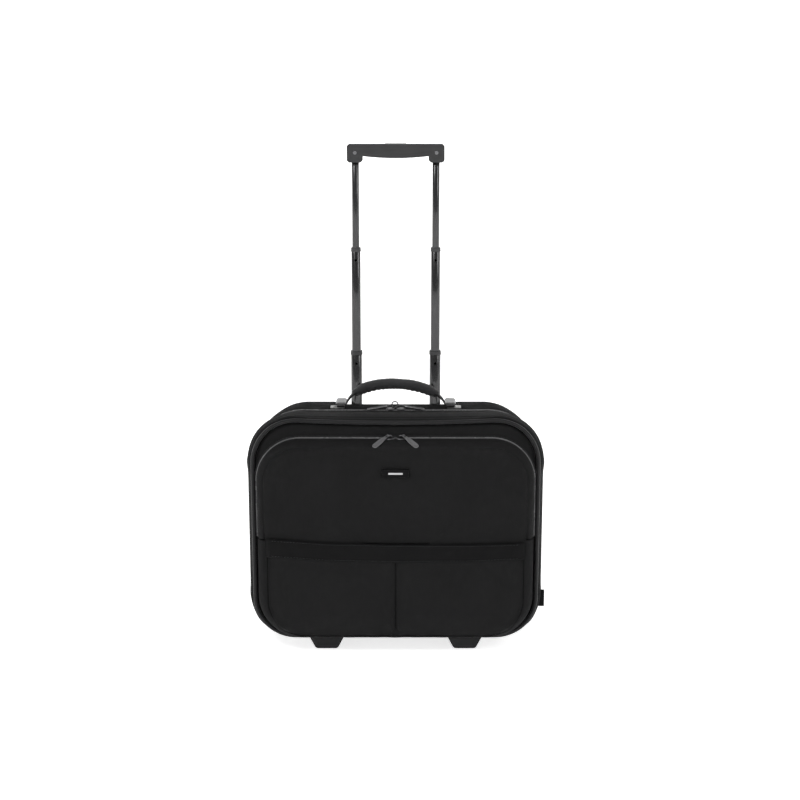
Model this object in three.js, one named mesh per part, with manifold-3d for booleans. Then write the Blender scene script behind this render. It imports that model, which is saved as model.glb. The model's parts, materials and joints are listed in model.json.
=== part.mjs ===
// Rolling pilot case: a soft-sided wheeled case that stands on two rear wheels and two front feet,
// with a telescopic pull handle, a carry handle, a zipped front half and a zipped front pocket.
// Millimetres. +X is the case's left-to-right seen from the front, +Y points to the back, +Z is up.
// The origin is on the floor, at the centre of the case's box.

import * as THREE from "three";
import { mergeVertices } from "three/addons/utils/BufferGeometryUtils.js";
import Module from "manifold-3d";

const wasm = await Module();
wasm.setup();

// ---------------------------------------------------------------- driving dimensions

const CASE_WIDTH = 430;
const CASE_BOTTOM = 17; // underside of the soft body, above the floor
const CASE_TOP = 347;
const TOP_RADIUS = 62;
const BOTTOM_RADIUS = 70;

const BACK_Y = 102; // outer face of the back panel
const ZIP_Y = 27; // plane of the main zip, between the two halves
const LID_Y = -78; // front face of the front half
const POCKET_Y = -97; // front face of the zipped pocket
const SLIP_ROOM = 4.8; // depth of the open slip pockets in front of it

const WALL = 4; // padded fabric wall
const SKIN = 3; // thinner pocket fabric
const GAP = 0.3; // between pieces that touch
const ZIP_HALF = 4; // width of one half of the main zip

const POCKET_BASE_HALF = 202; // half width of the pocket where it meets the front half
const POCKET_FACE_HALF = 193; // half width of its front face
const POCKET_BASE_TOP = 327;
const POCKET_FACE_TOP = 320;
const POCKET_BASE_BOTTOM = 24;
const POCKET_FACE_BOTTOM = 29;
const FOLD_Z = 179.5; // fold line of the pocket flap
const HEM_HEIGHT = 22.5;

const TUBE_X = 61; // half the distance between the two pull-handle tubes
const TUBE_Y = 80.5;
const TUBE_WIDTHS = [20.5, 17.4, 14.3, 11.2]; // base tube, then stages 1 to 3
const TUBE_DEEPER = 3; // a tube is this much deeper than wide
const TUBE_WALL = 1.1;
const TUBE_LENGTH = 280;
const COLLAR_HEIGHT = 6;
const BEZEL_FLOOR = 316;
const BEZEL_HALF = 95;
const BEZEL_LIP_TOP = 341;
const BEZEL_END_TOP = 351;
const GRIP_HALF = 73.5;
const GRIP_HEIGHT = 27.5;
const GRIP_DEPTH = 26;
// How far each stage stands out of the one below, as drawn.
const STAGE_OUT = [107.7, 153.7, 128.1];

const WHEEL_X = 170;
const WHEEL_Y = 79;
const WHEEL_RADIUS = 25.5;
const WHEEL_WIDTH = 22;
const AXLE_RADIUS = 3;

const HANDLE_Y = 44;
const FOOT_X = 104;

// ---------------------------------------------------------------- materials

function finish(color, roughness, metalness = 0) {
  return new THREE.MeshStandardMaterial({ color, roughness, metalness });
}

const nylon = finish(0x1e1e1f, 0.85);
const webbing = finish(0x19191a, 0.8);
const piping = finish(0x161617, 0.6);
const zipTape = finish(0x232324, 0.7);
const zipMetal = finish(0x4a4a4b, 0.4, 0.6);
const plastic = finish(0x3c3c3d, 0.5);
const greyPlastic = finish(0x8a8a8a, 0.45);
const blackTube = finish(0x151516, 0.25, 0.8);
const board = finish(0x2b2b2c, 0.7);
const rubber = finish(0x1a1a1a, 0.9);
const steel = finish(0xb4b4b2, 0.3, 1);
const padding = finish(0x2e2e30, 0.9);
const label = finish(0x0c0c0d, 0.4);

// ---------------------------------------------------------------- shape helpers

const CORNER_STEPS = 5;

// A rectangle with its own corner radius at the top and the bottom.
function roundedRect(x0, z0, x1, z1, topRadius, bottomRadius) {
  const s = new THREE.Shape();
  const quarter = Math.PI / 2;
  s.moveTo(x0 + bottomRadius, z0);
  s.lineTo(x1 - bottomRadius, z0);
  if (bottomRadius) s.absarc(x1 - bottomRadius, z0 + bottomRadius, bottomRadius, -quarter, 0);
  s.lineTo(x1, z1 - topRadius);
  if (topRadius) s.absarc(x1 - topRadius, z1 - topRadius, topRadius, 0, quarter);
  s.lineTo(x0 + topRadius, z1);
  if (topRadius) s.absarc(x0 + topRadius, z1 - topRadius, topRadius, quarter, 2 * quarter);
  s.lineTo(x0, z0 + bottomRadius);
  if (bottomRadius) s.absarc(x0 + bottomRadius, z0 + bottomRadius, bottomRadius, 2 * quarter, 3 * quarter);
  s.closePath();
  return s;
}

// The case's outline seen from the front, drawn in by a distance and with its top raised.
function caseOutline(inset = 0, rise = 0) {
  const half = CASE_WIDTH / 2 - inset;
  const top = TOP_RADIUS - inset;
  const bottom = BOTTOM_RADIUS - inset;
  return roundedRect(-half, CASE_BOTTOM + inset, half, CASE_TOP + rise - inset, top, bottom);
}

function withHole(outer, inner) {
  outer.holes.push(inner);
  return outer;
}

function extrude(shape, depth, basis, steps = CORNER_STEPS) {
  const options = { depth, bevelEnabled: false, curveSegments: steps, steps: 1 };
  const geometry = new THREE.ExtrudeGeometry(shape, options);
  return geometry.applyMatrix4(new THREE.Matrix4().makeBasis(...basis));
}

const X = new THREE.Vector3(1, 0, 0);
const Y = new THREE.Vector3(0, 1, 0);
const Z = new THREE.Vector3(0, 0, 1);

// A shape drawn in x and z, from y0 back to y1.
function alongY(shape, y0, y1, steps) {
  return extrude(shape, y1 - y0, [X, Z, Y.clone().negate()], steps).translate(0, y1, 0);
}

// A shape drawn in y and z, from x0 to x1.
function alongX(shape, x0, x1, steps) {
  return extrude(shape, x1 - x0, [Y, Z, X], steps).translate(x0, 0, 0);
}

// A shape drawn in x and y, from z0 up to z1.
function alongZ(shape, z0, z1, steps) {
  return extrude(shape, z1 - z0, [X, Y, Z], steps).translate(0, 0, z0);
}

function box(x0, x1, y0, y1, z0, z1) {
  const geometry = new THREE.BoxGeometry(x1 - x0, y1 - y0, z1 - z0);
  return geometry.translate((x0 + x1) / 2, (y0 + y1) / 2, (z0 + z1) / 2);
}

// A round bar along X, centred on (x, y, z).
function barX(radius, length, x, y, z, sides = 16) {
  return new THREE.CylinderGeometry(radius, radius, length, sides).rotateZ(Math.PI / 2).translate(x, y, z);
}

// A round bar along Y, centred on (x, y, z).
function barY(radius, length, x, y, z, sides = 12) {
  return new THREE.CylinderGeometry(radius, radius, length, sides).translate(x, y, z);
}

// A solid between two convex outlines with the same number of points, one at y0 and one at y1.
function loftY(frontShape, y0, backShape, y1) {
  const front = frontShape.extractPoints(CORNER_STEPS).shape;
  const back = backShape.extractPoints(CORNER_STEPS).shape;
  const n = front.length;
  const place = (points, y) => points.flatMap((p) => [p.x, y, p.y]);
  const positions = [...place(front, y0), ...place(back, y1)];
  const index = [];
  for (let i = 0; i < n; i++) {
    const j = (i + 1) % n;
    index.push(i, i + n, j, j, i + n, j + n);
    if (i > 0 && i < n - 1) index.push(0, i, i + 1, n, n + i + 1, n + i);
  }
  const geometry = new THREE.BufferGeometry();
  geometry.setAttribute("position", new THREE.Float32BufferAttribute(positions, 3));
  geometry.setIndex(index);
  return geometry;
}

// ---------------------------------------------------------------- cutting and joining

function solidOf(geometry) {
  const bare = new THREE.BufferGeometry();
  bare.setAttribute("position", geometry.getAttribute("position"));
  bare.setIndex(geometry.index);
  const merged = mergeVertices(bare, 1e-4);
  return new wasm.Manifold(
    new wasm.Mesh({
      numProp: 3,
      vertProperties: new Float32Array(merged.attributes.position.array),
      triVerts: new Uint32Array(merged.index.array),
    }),
  );
}

function geometryOf(solid) {
  const made = solid.getMesh();
  const geometry = new THREE.BufferGeometry();
  geometry.setAttribute("position", new THREE.BufferAttribute(made.vertProperties, 3));
  geometry.setIndex(new THREE.BufferAttribute(made.triVerts, 1));
  return geometry;
}

function cut(body, ...tools) {
  return geometryOf(tools.reduce((left, tool) => left.subtract(solidOf(tool)), solidOf(body)));
}

function join(...bodies) {
  return geometryOf(bodies.map(solidOf).reduce((all, one) => all.add(one)));
}

function common(body, tool) {
  return geometryOf(solidOf(body).intersect(solidOf(tool)));
}

// ---------------------------------------------------------------- the assembly

const rollingCase = new THREE.Group();

function add(name, geometry, material) {
  const mesh = new THREE.Mesh(geometry, material);
  mesh.name = name;
  rollingCase.add(mesh);
  return mesh;
}

// Calls build(side, word) for the left side (-1) and the right side (+1).
function bothSides(build) {
  build(-1, "left");
  build(1, "right");
}

const spanX = (side, near, far) => (side > 0 ? [near, far] : [-far, -near]);

// ---------------------------------------------------------------- wheels and their housings

const HOUSING_NEAR = WHEEL_X - 18;
const HOUSING_FAR = WHEEL_X + 18;
const HOUSING_FRONT = 46;
const HOUSING_TOP = 59;
const HOUSING_BOTTOM = 13;
const HOUSING_BACK = 103;
const WELL_RADIUS = WHEEL_RADIUS + 2.5;
const WELL_WIDTH = WHEEL_WIDTH + 3;
const AXLE_BORE = AXLE_RADIUS + 0.2;

// The space in the soft body that one housing fills.
function housingRoom(side) {
  const [x0, x1] = spanX(side, HOUSING_NEAR - GAP, HOUSING_FAR + GAP);
  return box(x0, x1, HOUSING_FRONT - GAP, HOUSING_BACK + 5, 0, HOUSING_TOP + GAP);
}

function wheelHousing(side) {
  const [x0, x1] = spanX(side, HOUSING_NEAR, HOUSING_FAR);
  const profile = new THREE.Shape();
  const slope = 10;
  profile.moveTo(HOUSING_FRONT + slope, HOUSING_BOTTOM);
  profile.lineTo(HOUSING_BACK - 4, HOUSING_BOTTOM);
  profile.lineTo(HOUSING_BACK, HOUSING_BOTTOM + 4);
  profile.lineTo(HOUSING_BACK, HOUSING_TOP);
  profile.lineTo(HOUSING_FRONT + slope, HOUSING_TOP);
  profile.lineTo(HOUSING_FRONT, HOUSING_TOP - slope);
  profile.lineTo(HOUSING_FRONT, HOUSING_BOTTOM + slope);
  profile.closePath();
  const block = alongX(profile, x0, x1);
  const well = barX(WELL_RADIUS, WELL_WIDTH, side * WHEEL_X, WHEEL_Y, WHEEL_RADIUS, 20);
  const bore = barX(AXLE_BORE, 60, side * WHEEL_X, WHEEL_Y, WHEEL_RADIUS, 12);
  return cut(block, well, bore);
}

// A turned ring about the wheel's axle, from its half profile of [radius, distance from the middle].
function turned(profile, side) {
  const points = profile.map(([r, w]) => new THREE.Vector2(r, w));
  points.push(points[0].clone());
  const geometry = new THREE.LatheGeometry(points, WHEEL_SIDES).rotateZ(Math.PI / 2);
  return geometry.translate(side * WHEEL_X, WHEEL_Y, WHEEL_RADIUS);
}

const RIM_RADIUS = 19;
const WHEEL_SIDES = 20;
const TYRE_CROWN = 4; // how far in from the edge the tread starts to fall away

function tyre(side) {
  const half = WHEEL_WIDTH / 2;
  const inner = RIM_RADIUS + 0.1;
  const profile = [
    [inner, -half],
    [WHEEL_RADIUS - TYRE_CROWN, -half],
    [WHEEL_RADIUS, -half + TYRE_CROWN],
    [WHEEL_RADIUS, half - TYRE_CROWN],
    [WHEEL_RADIUS - TYRE_CROWN, half],
    [inner, half],
  ];
  return turned(profile, side);
}

function hub(side) {
  const half = WHEEL_WIDTH / 2;
  const bore = AXLE_RADIUS + 0.1;
  const boss = 7;
  const profile = [
    [bore, -half],
    [boss, -half],
    [boss + 1, -half + 4],
    [RIM_RADIUS - 3, -half + 4],
    [RIM_RADIUS, -half + 1],
    [RIM_RADIUS, half - 1],
    [RIM_RADIUS - 3, half - 4],
    [boss + 1, half - 4],
    [boss, half],
    [bore, half],
  ];
  return turned(profile, side);
}

bothSides((side, word) => {
  add(`wheel_housing_${word}`, wheelHousing(side), plastic);
  add(`wheel_tyre_${word}`, tyre(side), rubber);
  add(`wheel_hub_${word}`, hub(side), greyPlastic);
  const axleLength = HOUSING_FAR - HOUSING_NEAR + 2;
  add(`wheel_axle_${word}`, barX(AXLE_RADIUS, axleLength, side * WHEEL_X, WHEEL_Y, WHEEL_RADIUS), steel);
});

// ---------------------------------------------------------------- the rear half of the body

const BEZEL_FRONT = 64;
const BEZEL_BACK = 97;

function bezelRoom() {
  const slack = 1;
  return box(-BEZEL_HALF - slack, BEZEL_HALF + slack, BEZEL_FRONT - slack, BEZEL_BACK + slack, 200, 400);
}

// One half of a zip that runs up one side, over the top and down the other.
const MAIN_ZIP_BOTTOM = 62;
const ZIP_INSET = 1;
const ZIP_THICKNESS = 2.5;

function mainZipHalf(y0, y1) {
  const band = alongY(withHole(caseOutline(ZIP_INSET), caseOutline(ZIP_INSET + ZIP_THICKNESS)), y0, y1);
  return cut(band, box(-300, 300, y0 - 1, y1 + 1, 0, MAIN_ZIP_BOTTOM));
}

// A cord sewn round the edge of a panel. It stands away from the panel along Y, by the sign given.
const PIPING_HEIGHT = 3.1;
const PIPING_INNER = 5.4;

function edgePiping(panelY, away, rise) {
  const near = panelY + away * GAP;
  const far = panelY + away * PIPING_HEIGHT;
  const crown = caseOutline(1.6, rise);
  const foot = caseOutline(-0.2, rise);
  const body = away < 0 ? loftY(crown, far, foot, near) : loftY(foot, near, crown, far);
  return cut(body, alongY(caseOutline(PIPING_INNER, rise), Math.min(near, far) - 1, Math.max(near, far) + 1));
}

const backPanelY = BACK_Y - WALL;
const backPanel = alongY(caseOutline(0.5), backPanelY, BACK_Y);
add("back_panel", cut(backPanel, housingRoom(-1), housingRoom(1)), nylon);
add("back_piping", cut(edgePiping(BACK_Y, 1, 0), box(-300, 300, 50, 150, 0, HOUSING_TOP + 1)), piping);

// The zip lies in a shallow step at each gusset's edge.
function zipStep(y0, y1) {
  const room = alongY(withHole(caseOutline(-5), caseOutline(ZIP_INSET + ZIP_THICKNESS + GAP)), y0, y1);
  return cut(room, box(-300, 300, y0 - 1, y1 + 1, 0, MAIN_ZIP_BOTTOM - GAP));
}

const rearGusset = alongY(withHole(caseOutline(), caseOutline(WALL)), ZIP_Y + 0.2, backPanelY - GAP);
add(
  "rear_gusset",
  cut(rearGusset, housingRoom(-1), housingRoom(1), bezelRoom(), zipStep(ZIP_Y - 1, ZIP_Y + ZIP_HALF + GAP)),
  nylon,
);
add("main_zip_rear", mainZipHalf(ZIP_Y + 0.2, ZIP_Y + ZIP_HALF), zipTape);

// The folded frame board: a back and a floor from one sheet.
const BOARD_THICKNESS = 3;
const BOARD_HALF = 140;
const boardY = backPanelY - GAP - BOARD_THICKNESS;
const BOARD_FLOOR = CASE_BOTTOM + WALL + GAP;
const BOARD_TOP = 308;

function frameBoard() {
  const profile = new THREE.Shape();
  profile.moveTo(ZIP_Y + 8, BOARD_FLOOR);
  profile.lineTo(boardY + BOARD_THICKNESS, BOARD_FLOOR);
  profile.lineTo(boardY + BOARD_THICKNESS, BOARD_TOP);
  profile.lineTo(boardY, BOARD_TOP);
  profile.lineTo(boardY, BOARD_FLOOR + BOARD_THICKNESS);
  profile.lineTo(ZIP_Y + 8, BOARD_FLOOR + BOARD_THICKNESS);
  profile.closePath();
  return alongX(profile, -BOARD_HALF, BOARD_HALF);
}

add("frame_board", frameBoard(), board);

// ---------------------------------------------------------------- telescopic pull handle

// A tube's outline: a rectangle with very round corners, at one side's tube.
function tubeOutline(width, depth, side, grow = 0) {
  const a = width / 2 + grow;
  const b = depth / 2 + grow;
  const radius = 0.42 * width + grow;
  const x = side * TUBE_X;
  return roundedRect(x - a, TUBE_Y - b, x + a, TUBE_Y + b, radius, radius);
}

const TUBE_STEPS = 2;
const LOCK_HOLE_RADIUS = 2.4;
const LOCK_HOLE_DROP = 13; // below the top of the tube

function tube(stage, side, z0, z1, locked) {
  const width = TUBE_WIDTHS[stage];
  const depth = width + TUBE_DEEPER;
  const outline = withHole(tubeOutline(width, depth, side), tubeOutline(width, depth, side, -TUBE_WALL));
  const body = alongZ(outline, z0, z1, TUBE_STEPS);
  if (!locked) return body;
  const hole = barY(LOCK_HOLE_RADIUS, depth, side * TUBE_X, TUBE_Y - depth / 2, z1 - LOCK_HOLE_DROP, 10);
  return cut(body, hole);
}

// The plastic ring on top of a tube, which guides the next one.
function collar(stage, side, z0) {
  const width = TUBE_WIDTHS[stage];
  const next = TUBE_WIDTHS[stage + 1];
  const outer = tubeOutline(width, width + TUBE_DEEPER, side, 0.6);
  const inner = tubeOutline(next, next + TUBE_DEEPER, side, 0.25);
  return alongZ(withHole(outer, inner), z0, z0 + COLLAR_HEIGHT, TUBE_STEPS);
}

const BRACKET_TOP = 40;
const baseTubeBottom = BOARD_FLOOR + BOARD_THICKNESS + GAP + 3;
const bezelBottom = BEZEL_FLOOR - 4;

// Where the top of each stage's tube is when everything is pushed in, and as drawn.
const stageTopIn = [BEZEL_FLOOR + GAP, BEZEL_FLOOR + GAP + COLLAR_HEIGHT + GAP];
const gripBottomIn = BEZEL_FLOOR + 2 * (COLLAR_HEIGHT + GAP) + 0.4;
const lifted = [STAGE_OUT[0], STAGE_OUT[0] + STAGE_OUT[1], STAGE_OUT[0] + STAGE_OUT[1] + STAGE_OUT[2]];
const gripBottom = gripBottomIn + lifted[2];
const gripTop = gripBottom + GRIP_HEIGHT;

bothSides((side, word) => {
  add(`base_tube_${word}`, tube(0, side, baseTubeBottom, bezelBottom - GAP, false), blackTube);
  for (const stage of [1, 2]) {
    const top = stageTopIn[stage - 1] + lifted[stage - 1];
    add(`stage${stage}_tube_${word}`, tube(stage, side, top - TUBE_LENGTH, top, true), blackTube);
    add(`stage${stage}_collar_${word}`, collar(stage, side, top + 0.05), plastic);
  }
  const insideGrip = 9;
  const top = gripBottom + insideGrip;
  add(`stage3_tube_${word}`, tube(3, side, top - TUBE_LENGTH - insideGrip, top, false), blackTube);
});

// The foot that ties both base tubes to the frame board.
function tubeBracket() {
  const half = TUBE_X + 24;
  const plate = box(-half, half, TUBE_Y - 15, boardY - GAP, BOARD_FLOOR + BOARD_THICKNESS + GAP, baseTubeBottom - GAP);
  const sockets = [-1, 1].map((side) => {
    const width = TUBE_WIDTHS[0];
    const outer = tubeOutline(width, width + TUBE_DEEPER - 2, side, 2.5);
    const inner = tubeOutline(width, width + TUBE_DEEPER, side, GAP);
    const wall = alongZ(outer, baseTubeBottom - GAP - 0.5, BRACKET_TOP, TUBE_STEPS);
    return cut(wall, alongZ(inner, baseTubeBottom - GAP, BRACKET_TOP + 1, TUBE_STEPS));
  });
  return join(plate, ...sockets);
}

add("tube_bracket", cut(tubeBracket(), box(-200, 200, boardY - GAP, 120, 0, 100)), plastic);

// The recessed top plate that the grip sinks into, with a raised block at each end.
function bezel() {
  const recessHalf = GRIP_HALF + 3;
  const wall = 2.5;
  const body = join(
    box(-BEZEL_HALF + 1, BEZEL_HALF - 1, BEZEL_FRONT, BEZEL_BACK, bezelBottom, BEZEL_LIP_TOP),
    ...[-1, 1].map((side) => {
      const [x0, x1] = spanX(side, recessHalf, BEZEL_HALF - 1);
      const end = roundedRect(x0, BEZEL_LIP_TOP - 3, x1, BEZEL_END_TOP, 4, 0);
      return alongY(end, BEZEL_FRONT, BEZEL_BACK);
    }),
  );
  const recess = box(-recessHalf, recessHalf, BEZEL_FRONT + wall, BEZEL_BACK - wall, BEZEL_FLOOR, 400);
  const holes = [-1, 1].map((side) => {
    const width = TUBE_WIDTHS[1];
    return alongZ(tubeOutline(width, width + TUBE_DEEPER, side, 0.4), 300, 330, TUBE_STEPS);
  });
  const underside = [-1, 1].map((side) => {
    const [x0, x1] = spanX(side, recessHalf + wall, BEZEL_HALF);
    return box(x0, x1, BEZEL_FRONT - 1, BEZEL_BACK + 1, 300, CASE_TOP - WALL - 2);
  });
  return cut(body, recess, ...holes, ...underside);
}

add("trolley_bezel", bezel(), greyPlastic);

// The inner cover over the tubes, open towards the back board.
function tubeCover() {
  const half = 100;
  const front = 61;
  const bottom = BRACKET_TOP + 3;
  const thickness = 2;
  const outer = roundedRect(-half, front, half, boardY - GAP, 0, 8);
  const inner = roundedRect(-half + thickness, front + thickness, half - thickness, 120, 0, 8 - thickness);
  return cut(alongZ(outer, bottom, BEZEL_FLOOR - 6), alongZ(inner, bottom - 1, BEZEL_FLOOR));
}

add("tube_cover", tubeCover(), padding);

// ---------------------------------------------------------------- grip, button and release rods

const GRIP_END = 23.5; // width of each end block of the grip
const BAR_UNDER = 9.5; // the bar's underside, above the end blocks' undersides
const BAR_BELLY = 3; // how far the middle of the bar hangs below its ends

// The grip seen from the front.
function gripOutline() {
  const s = new THREE.Shape();
  const inner = GRIP_HALF - GRIP_END;
  const r = 3;
  s.moveTo(-GRIP_HALF, gripBottom + r);
  s.lineTo(-GRIP_HALF + r, gripBottom);
  s.lineTo(-inner - r, gripBottom);
  s.lineTo(-inner, gripBottom + r);
  s.lineTo(-inner, gripBottom + BAR_UNDER);
  s.quadraticCurveTo(0, gripBottom + BAR_UNDER - 2 * BAR_BELLY, inner, gripBottom + BAR_UNDER);
  s.lineTo(inner, gripBottom + r);
  s.lineTo(inner + r, gripBottom);
  s.lineTo(GRIP_HALF - r, gripBottom);
  s.lineTo(GRIP_HALF, gripBottom + r);
  s.lineTo(GRIP_HALF, gripTop - r);
  s.lineTo(GRIP_HALF - r, gripTop);
  s.lineTo(-GRIP_HALF + r, gripTop);
  s.lineTo(-GRIP_HALF, gripTop - r);
  s.closePath();
  return s;
}

// The grip seen from its end: rounded towards the front and the back.
function gripSection() {
  const y0 = TUBE_Y - GRIP_DEPTH / 2;
  return roundedRect(y0, gripBottom - 1, y0 + GRIP_DEPTH, gripTop + 0.01, 7, 3);
}

const BUTTON_HALF = 17;
const BUTTON_DEPTH = 11;
const BUTTON_TRAVEL = 4;
const YOKE_Z = gripTop - 7; // top of the yoke's crossbar
const YOKE_HEIGHT = 4;
const ROD = 4;

function gripSolid() {
  const whole = common(alongY(gripOutline(), TUBE_Y - 20, TUBE_Y + 20, 8), alongX(gripSection(), -90, 90, 4));
  const slack = 0.4;
  const yokeHalf = TUBE_X + ROD / 2 + 1;
  const yokeRoom = box(
    -yokeHalf,
    yokeHalf,
    TUBE_Y - ROD / 2 - slack,
    TUBE_Y + ROD / 2 + slack,
    YOKE_Z - YOKE_HEIGHT - BUTTON_TRAVEL - slack,
    YOKE_Z + slack,
  );
  const buttonRoom = box(
    -BUTTON_HALF - slack,
    BUTTON_HALF + slack,
    TUBE_Y - BUTTON_DEPTH / 2 - slack,
    TUBE_Y + BUTTON_DEPTH / 2 + slack,
    YOKE_Z - BUTTON_TRAVEL - slack,
    gripTop + 5,
  );
  const tubeRooms = [-1, 1].map((side) => {
    const width = TUBE_WIDTHS[3];
    return alongZ(tubeOutline(width, width + TUBE_DEEPER, side, 0.2), gripBottom - 1, gripBottom + 13, TUBE_STEPS);
  });
  const screwRooms = [-1, 1].map((side) => barY(SCREW_RADIUS + 0.2, 16, side * SCREW_X, TUBE_Y - 12, SCREW_Z));
  return cut(whole, yokeRoom, buttonRoom, ...tubeRooms, ...screwRooms);
}

const SCREW_RADIUS = 2.6;
const SCREW_X = TUBE_X + 0.5;
const SCREW_Z = gripTop - 13;

const grip = gripSolid();
add("grip_front_shell", common(grip, box(-90, 90, 0, TUBE_Y - 0.1, 600, 900)), plastic);
add("grip_back_shell", common(grip, box(-90, 90, TUBE_Y + 0.1, 200, 600, 900)), plastic);
bothSides((side, word) => {
  const head = barY(SCREW_RADIUS, 3, side * SCREW_X, TUBE_Y - GRIP_DEPTH / 2 + 1.9, SCREW_Z);
  const shank = barY(1.4, 6.2, side * SCREW_X, TUBE_Y - 7.4, SCREW_Z, 8);
  const slot = box(-30, 30, 0, TUBE_Y - GRIP_DEPTH / 2 + 1.2, -0.4, 0.4).translate(side * SCREW_X, 0, SCREW_Z);
  add(`grip_screw_${word}`, cut(join(head, shank), slot), steel);
});

const buttonProfile = roundedRect(-BUTTON_HALF, YOKE_Z + GAP, BUTTON_HALF, gripTop + 0.8, 2, 0);
add("release_button", alongY(buttonProfile, TUBE_Y - BUTTON_DEPTH / 2, TUBE_Y + BUTTON_DEPTH / 2, 2), greyPlastic);

function releaseYoke() {
  const half = TUBE_X + ROD / 2;
  const bar = [TUBE_Y - ROD / 2, TUBE_Y + ROD / 2];
  const rodBottom = gripBottom - TUBE_LENGTH + 20;
  const rods = [-1, 1].map((side) => {
    const [x0, x1] = spanX(side, TUBE_X - ROD / 2, TUBE_X + ROD / 2);
    return box(x0, x1, ...bar, rodBottom, YOKE_Z - 1);
  });
  return join(box(-half, half, ...bar, YOKE_Z - YOKE_HEIGHT, YOKE_Z), ...rods);
}

add("release_yoke", releaseYoke(), steel);

// ---------------------------------------------------------------- carry handle on top

// The handle's middle line on one side, from its foot to its crown, as [distance from the middle, height].
const HANDLE_FOOT = 75.5;
const CROWN_Z = 384.5;
const handleHalf = [
  [HANDLE_FOOT, CASE_TOP + 1.2],
  [70.5, 357.5],
  [61.5, 368],
  [38, 380.5],
];
const handlePoints = [
  ...handleHalf.map(([x, z]) => [-x, z]),
  [0, CROWN_Z],
  ...handleHalf.map(([x, z]) => [x, z]).reverse(),
];
const handleLine = new THREE.CatmullRomCurve3(handlePoints.map(([x, z]) => new THREE.Vector3(x, HANDLE_Y, z)));

// The stretch of the handle's line between two shares of its length.
class HandleStretch extends THREE.Curve {
  constructor(from, to) {
    super();
    this.from = from;
    this.to = to;
  }
  getPoint(t, target) {
    return handleLine.getPointAt(this.from + t * (this.to - this.from), target);
  }
}

// Sweeps a section, drawn as [front-to-back, thickness], along that stretch.
function handleSweep(section, from, to, steps, curveSegments) {
  const path = new HandleStretch(from, to);
  return new THREE.ExtrudeGeometry(section, { steps, extrudePath: path, curveSegments });
}

const STRAP_HALF = 10; // half width of the webbing strap
const STRAP_THICKNESS = 2.4;
const SLEEVE_FROM = 0.14; // the padded sleeve starts this share of the way along
const HANDLE_STEPS = 20;

function strapSection(slack) {
  const half = STRAP_HALF + slack;
  const thin = STRAP_THICKNESS / 2 + slack;
  return roundedRect(-half, -thin, half, thin, 0, 0);
}

const sleeveSection = new THREE.Shape();
sleeveSection.absellipse(0, 0, 12.4, 7.7, 0, 2 * Math.PI);
const sleeve = handleSweep(sleeveSection, SLEEVE_FROM, 1 - SLEEVE_FROM, 14, 5);
const strapRoom = handleSweep(strapSection(GAP), 0, 1, HANDLE_STEPS, 1);
add("carry_sleeve", cut(sleeve, strapRoom), webbing);

// The strap narrows to a neck at each foot, so that the handle can lean.
const NECK_HALF = 2.5;
const NECK_TOP = CASE_TOP + 7.5;
const strap = handleSweep(strapSection(0), 0, 1, HANDLE_STEPS, 1);
const besideNeck = (near, far) => box(-90, 90, HANDLE_Y + near, HANDLE_Y + far, 340, NECK_TOP);
add("carry_strap", cut(strap, besideNeck(NECK_HALF, 20), besideNeck(-20, -NECK_HALF)), webbing);

// A riveted metal plate that holds each end of the strap.
function anchorPlate(side) {
  const [x0, x1] = spanX(side, HANDLE_FOOT + 3, HANDLE_FOOT + 25);
  const z0 = CASE_TOP + GAP;
  const plate = alongZ(roundedRect(x0, HANDLE_Y - 9, x1, HANDLE_Y + 9, 3, 3), z0, z0 + 1.4, 2);
  const rivets = [9, 19].map((out) => {
    const rivet = new THREE.CylinderGeometry(1.8, 2.8, 1.4, 8).rotateX(Math.PI / 2);
    return rivet.translate(side * (HANDLE_FOOT + out), HANDLE_Y, z0 + 2);
  });
  return join(plate, ...rivets);
}

bothSides((side, word) => add(`handle_anchor_${word}`, anchorPlate(side), steel));

// ---------------------------------------------------------------- laptop sleeve inside

function laptopSleeve() {
  const [x, y0, y1] = [190, 45, 59];
  const outer = roundedRect(-x, BOARD_FLOOR + 6, x, 270, 12, 55);
  const inner = roundedRect(-x + SKIN, BOARD_FLOOR + 6 + SKIN, x - SKIN, 300, 0, 52);
  return cut(alongY(outer, y0, y1, 4), alongY(inner, y0 + 2, y1 + 1, 4));
}

add("laptop_sleeve", cut(laptopSleeve(), housingRoom(-1), housingRoom(1)), padding);

// ---------------------------------------------------------------- the front half

// A tag sewn through the side of the front half.
const TAG_BACK = -59;
const TAG_FRONT = -60;

function sideTag(slack) {
  return box(203 - slack, 224 + slack, TAG_FRONT - slack, TAG_BACK + slack, 63 - slack, 89 + slack);
}

// The front half stands taller towards its front edge.
const LID_RISE = 8;

function lidOutline(y, inset = 0) {
  return caseOutline(inset, (LID_RISE * (ZIP_Y - y)) / (ZIP_Y - LID_Y));
}

function lidGusset() {
  const front = LID_Y + WALL + GAP;
  const back = ZIP_Y - 0.2;
  const outer = loftY(lidOutline(front), front, lidOutline(back), back);
  const inner = loftY(lidOutline(front - 1, WALL), front - 1, lidOutline(back + 1, WALL), back + 1);
  return cut(outer, inner);
}

add("lid_gusset", cut(lidGusset(), zipStep(ZIP_Y - ZIP_HALF - GAP, ZIP_Y + 1), sideTag(GAP)), nylon);
add("side_tag", sideTag(0), label);
add("main_zip_front", mainZipHalf(ZIP_Y - ZIP_HALF, ZIP_Y - 0.2), zipTape);
add("lid_front_panel", alongY(caseOutline(2, LID_RISE), LID_Y, LID_Y + WALL), nylon);

add("front_piping", edgePiping(LID_Y, -1, LID_RISE), piping);

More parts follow.
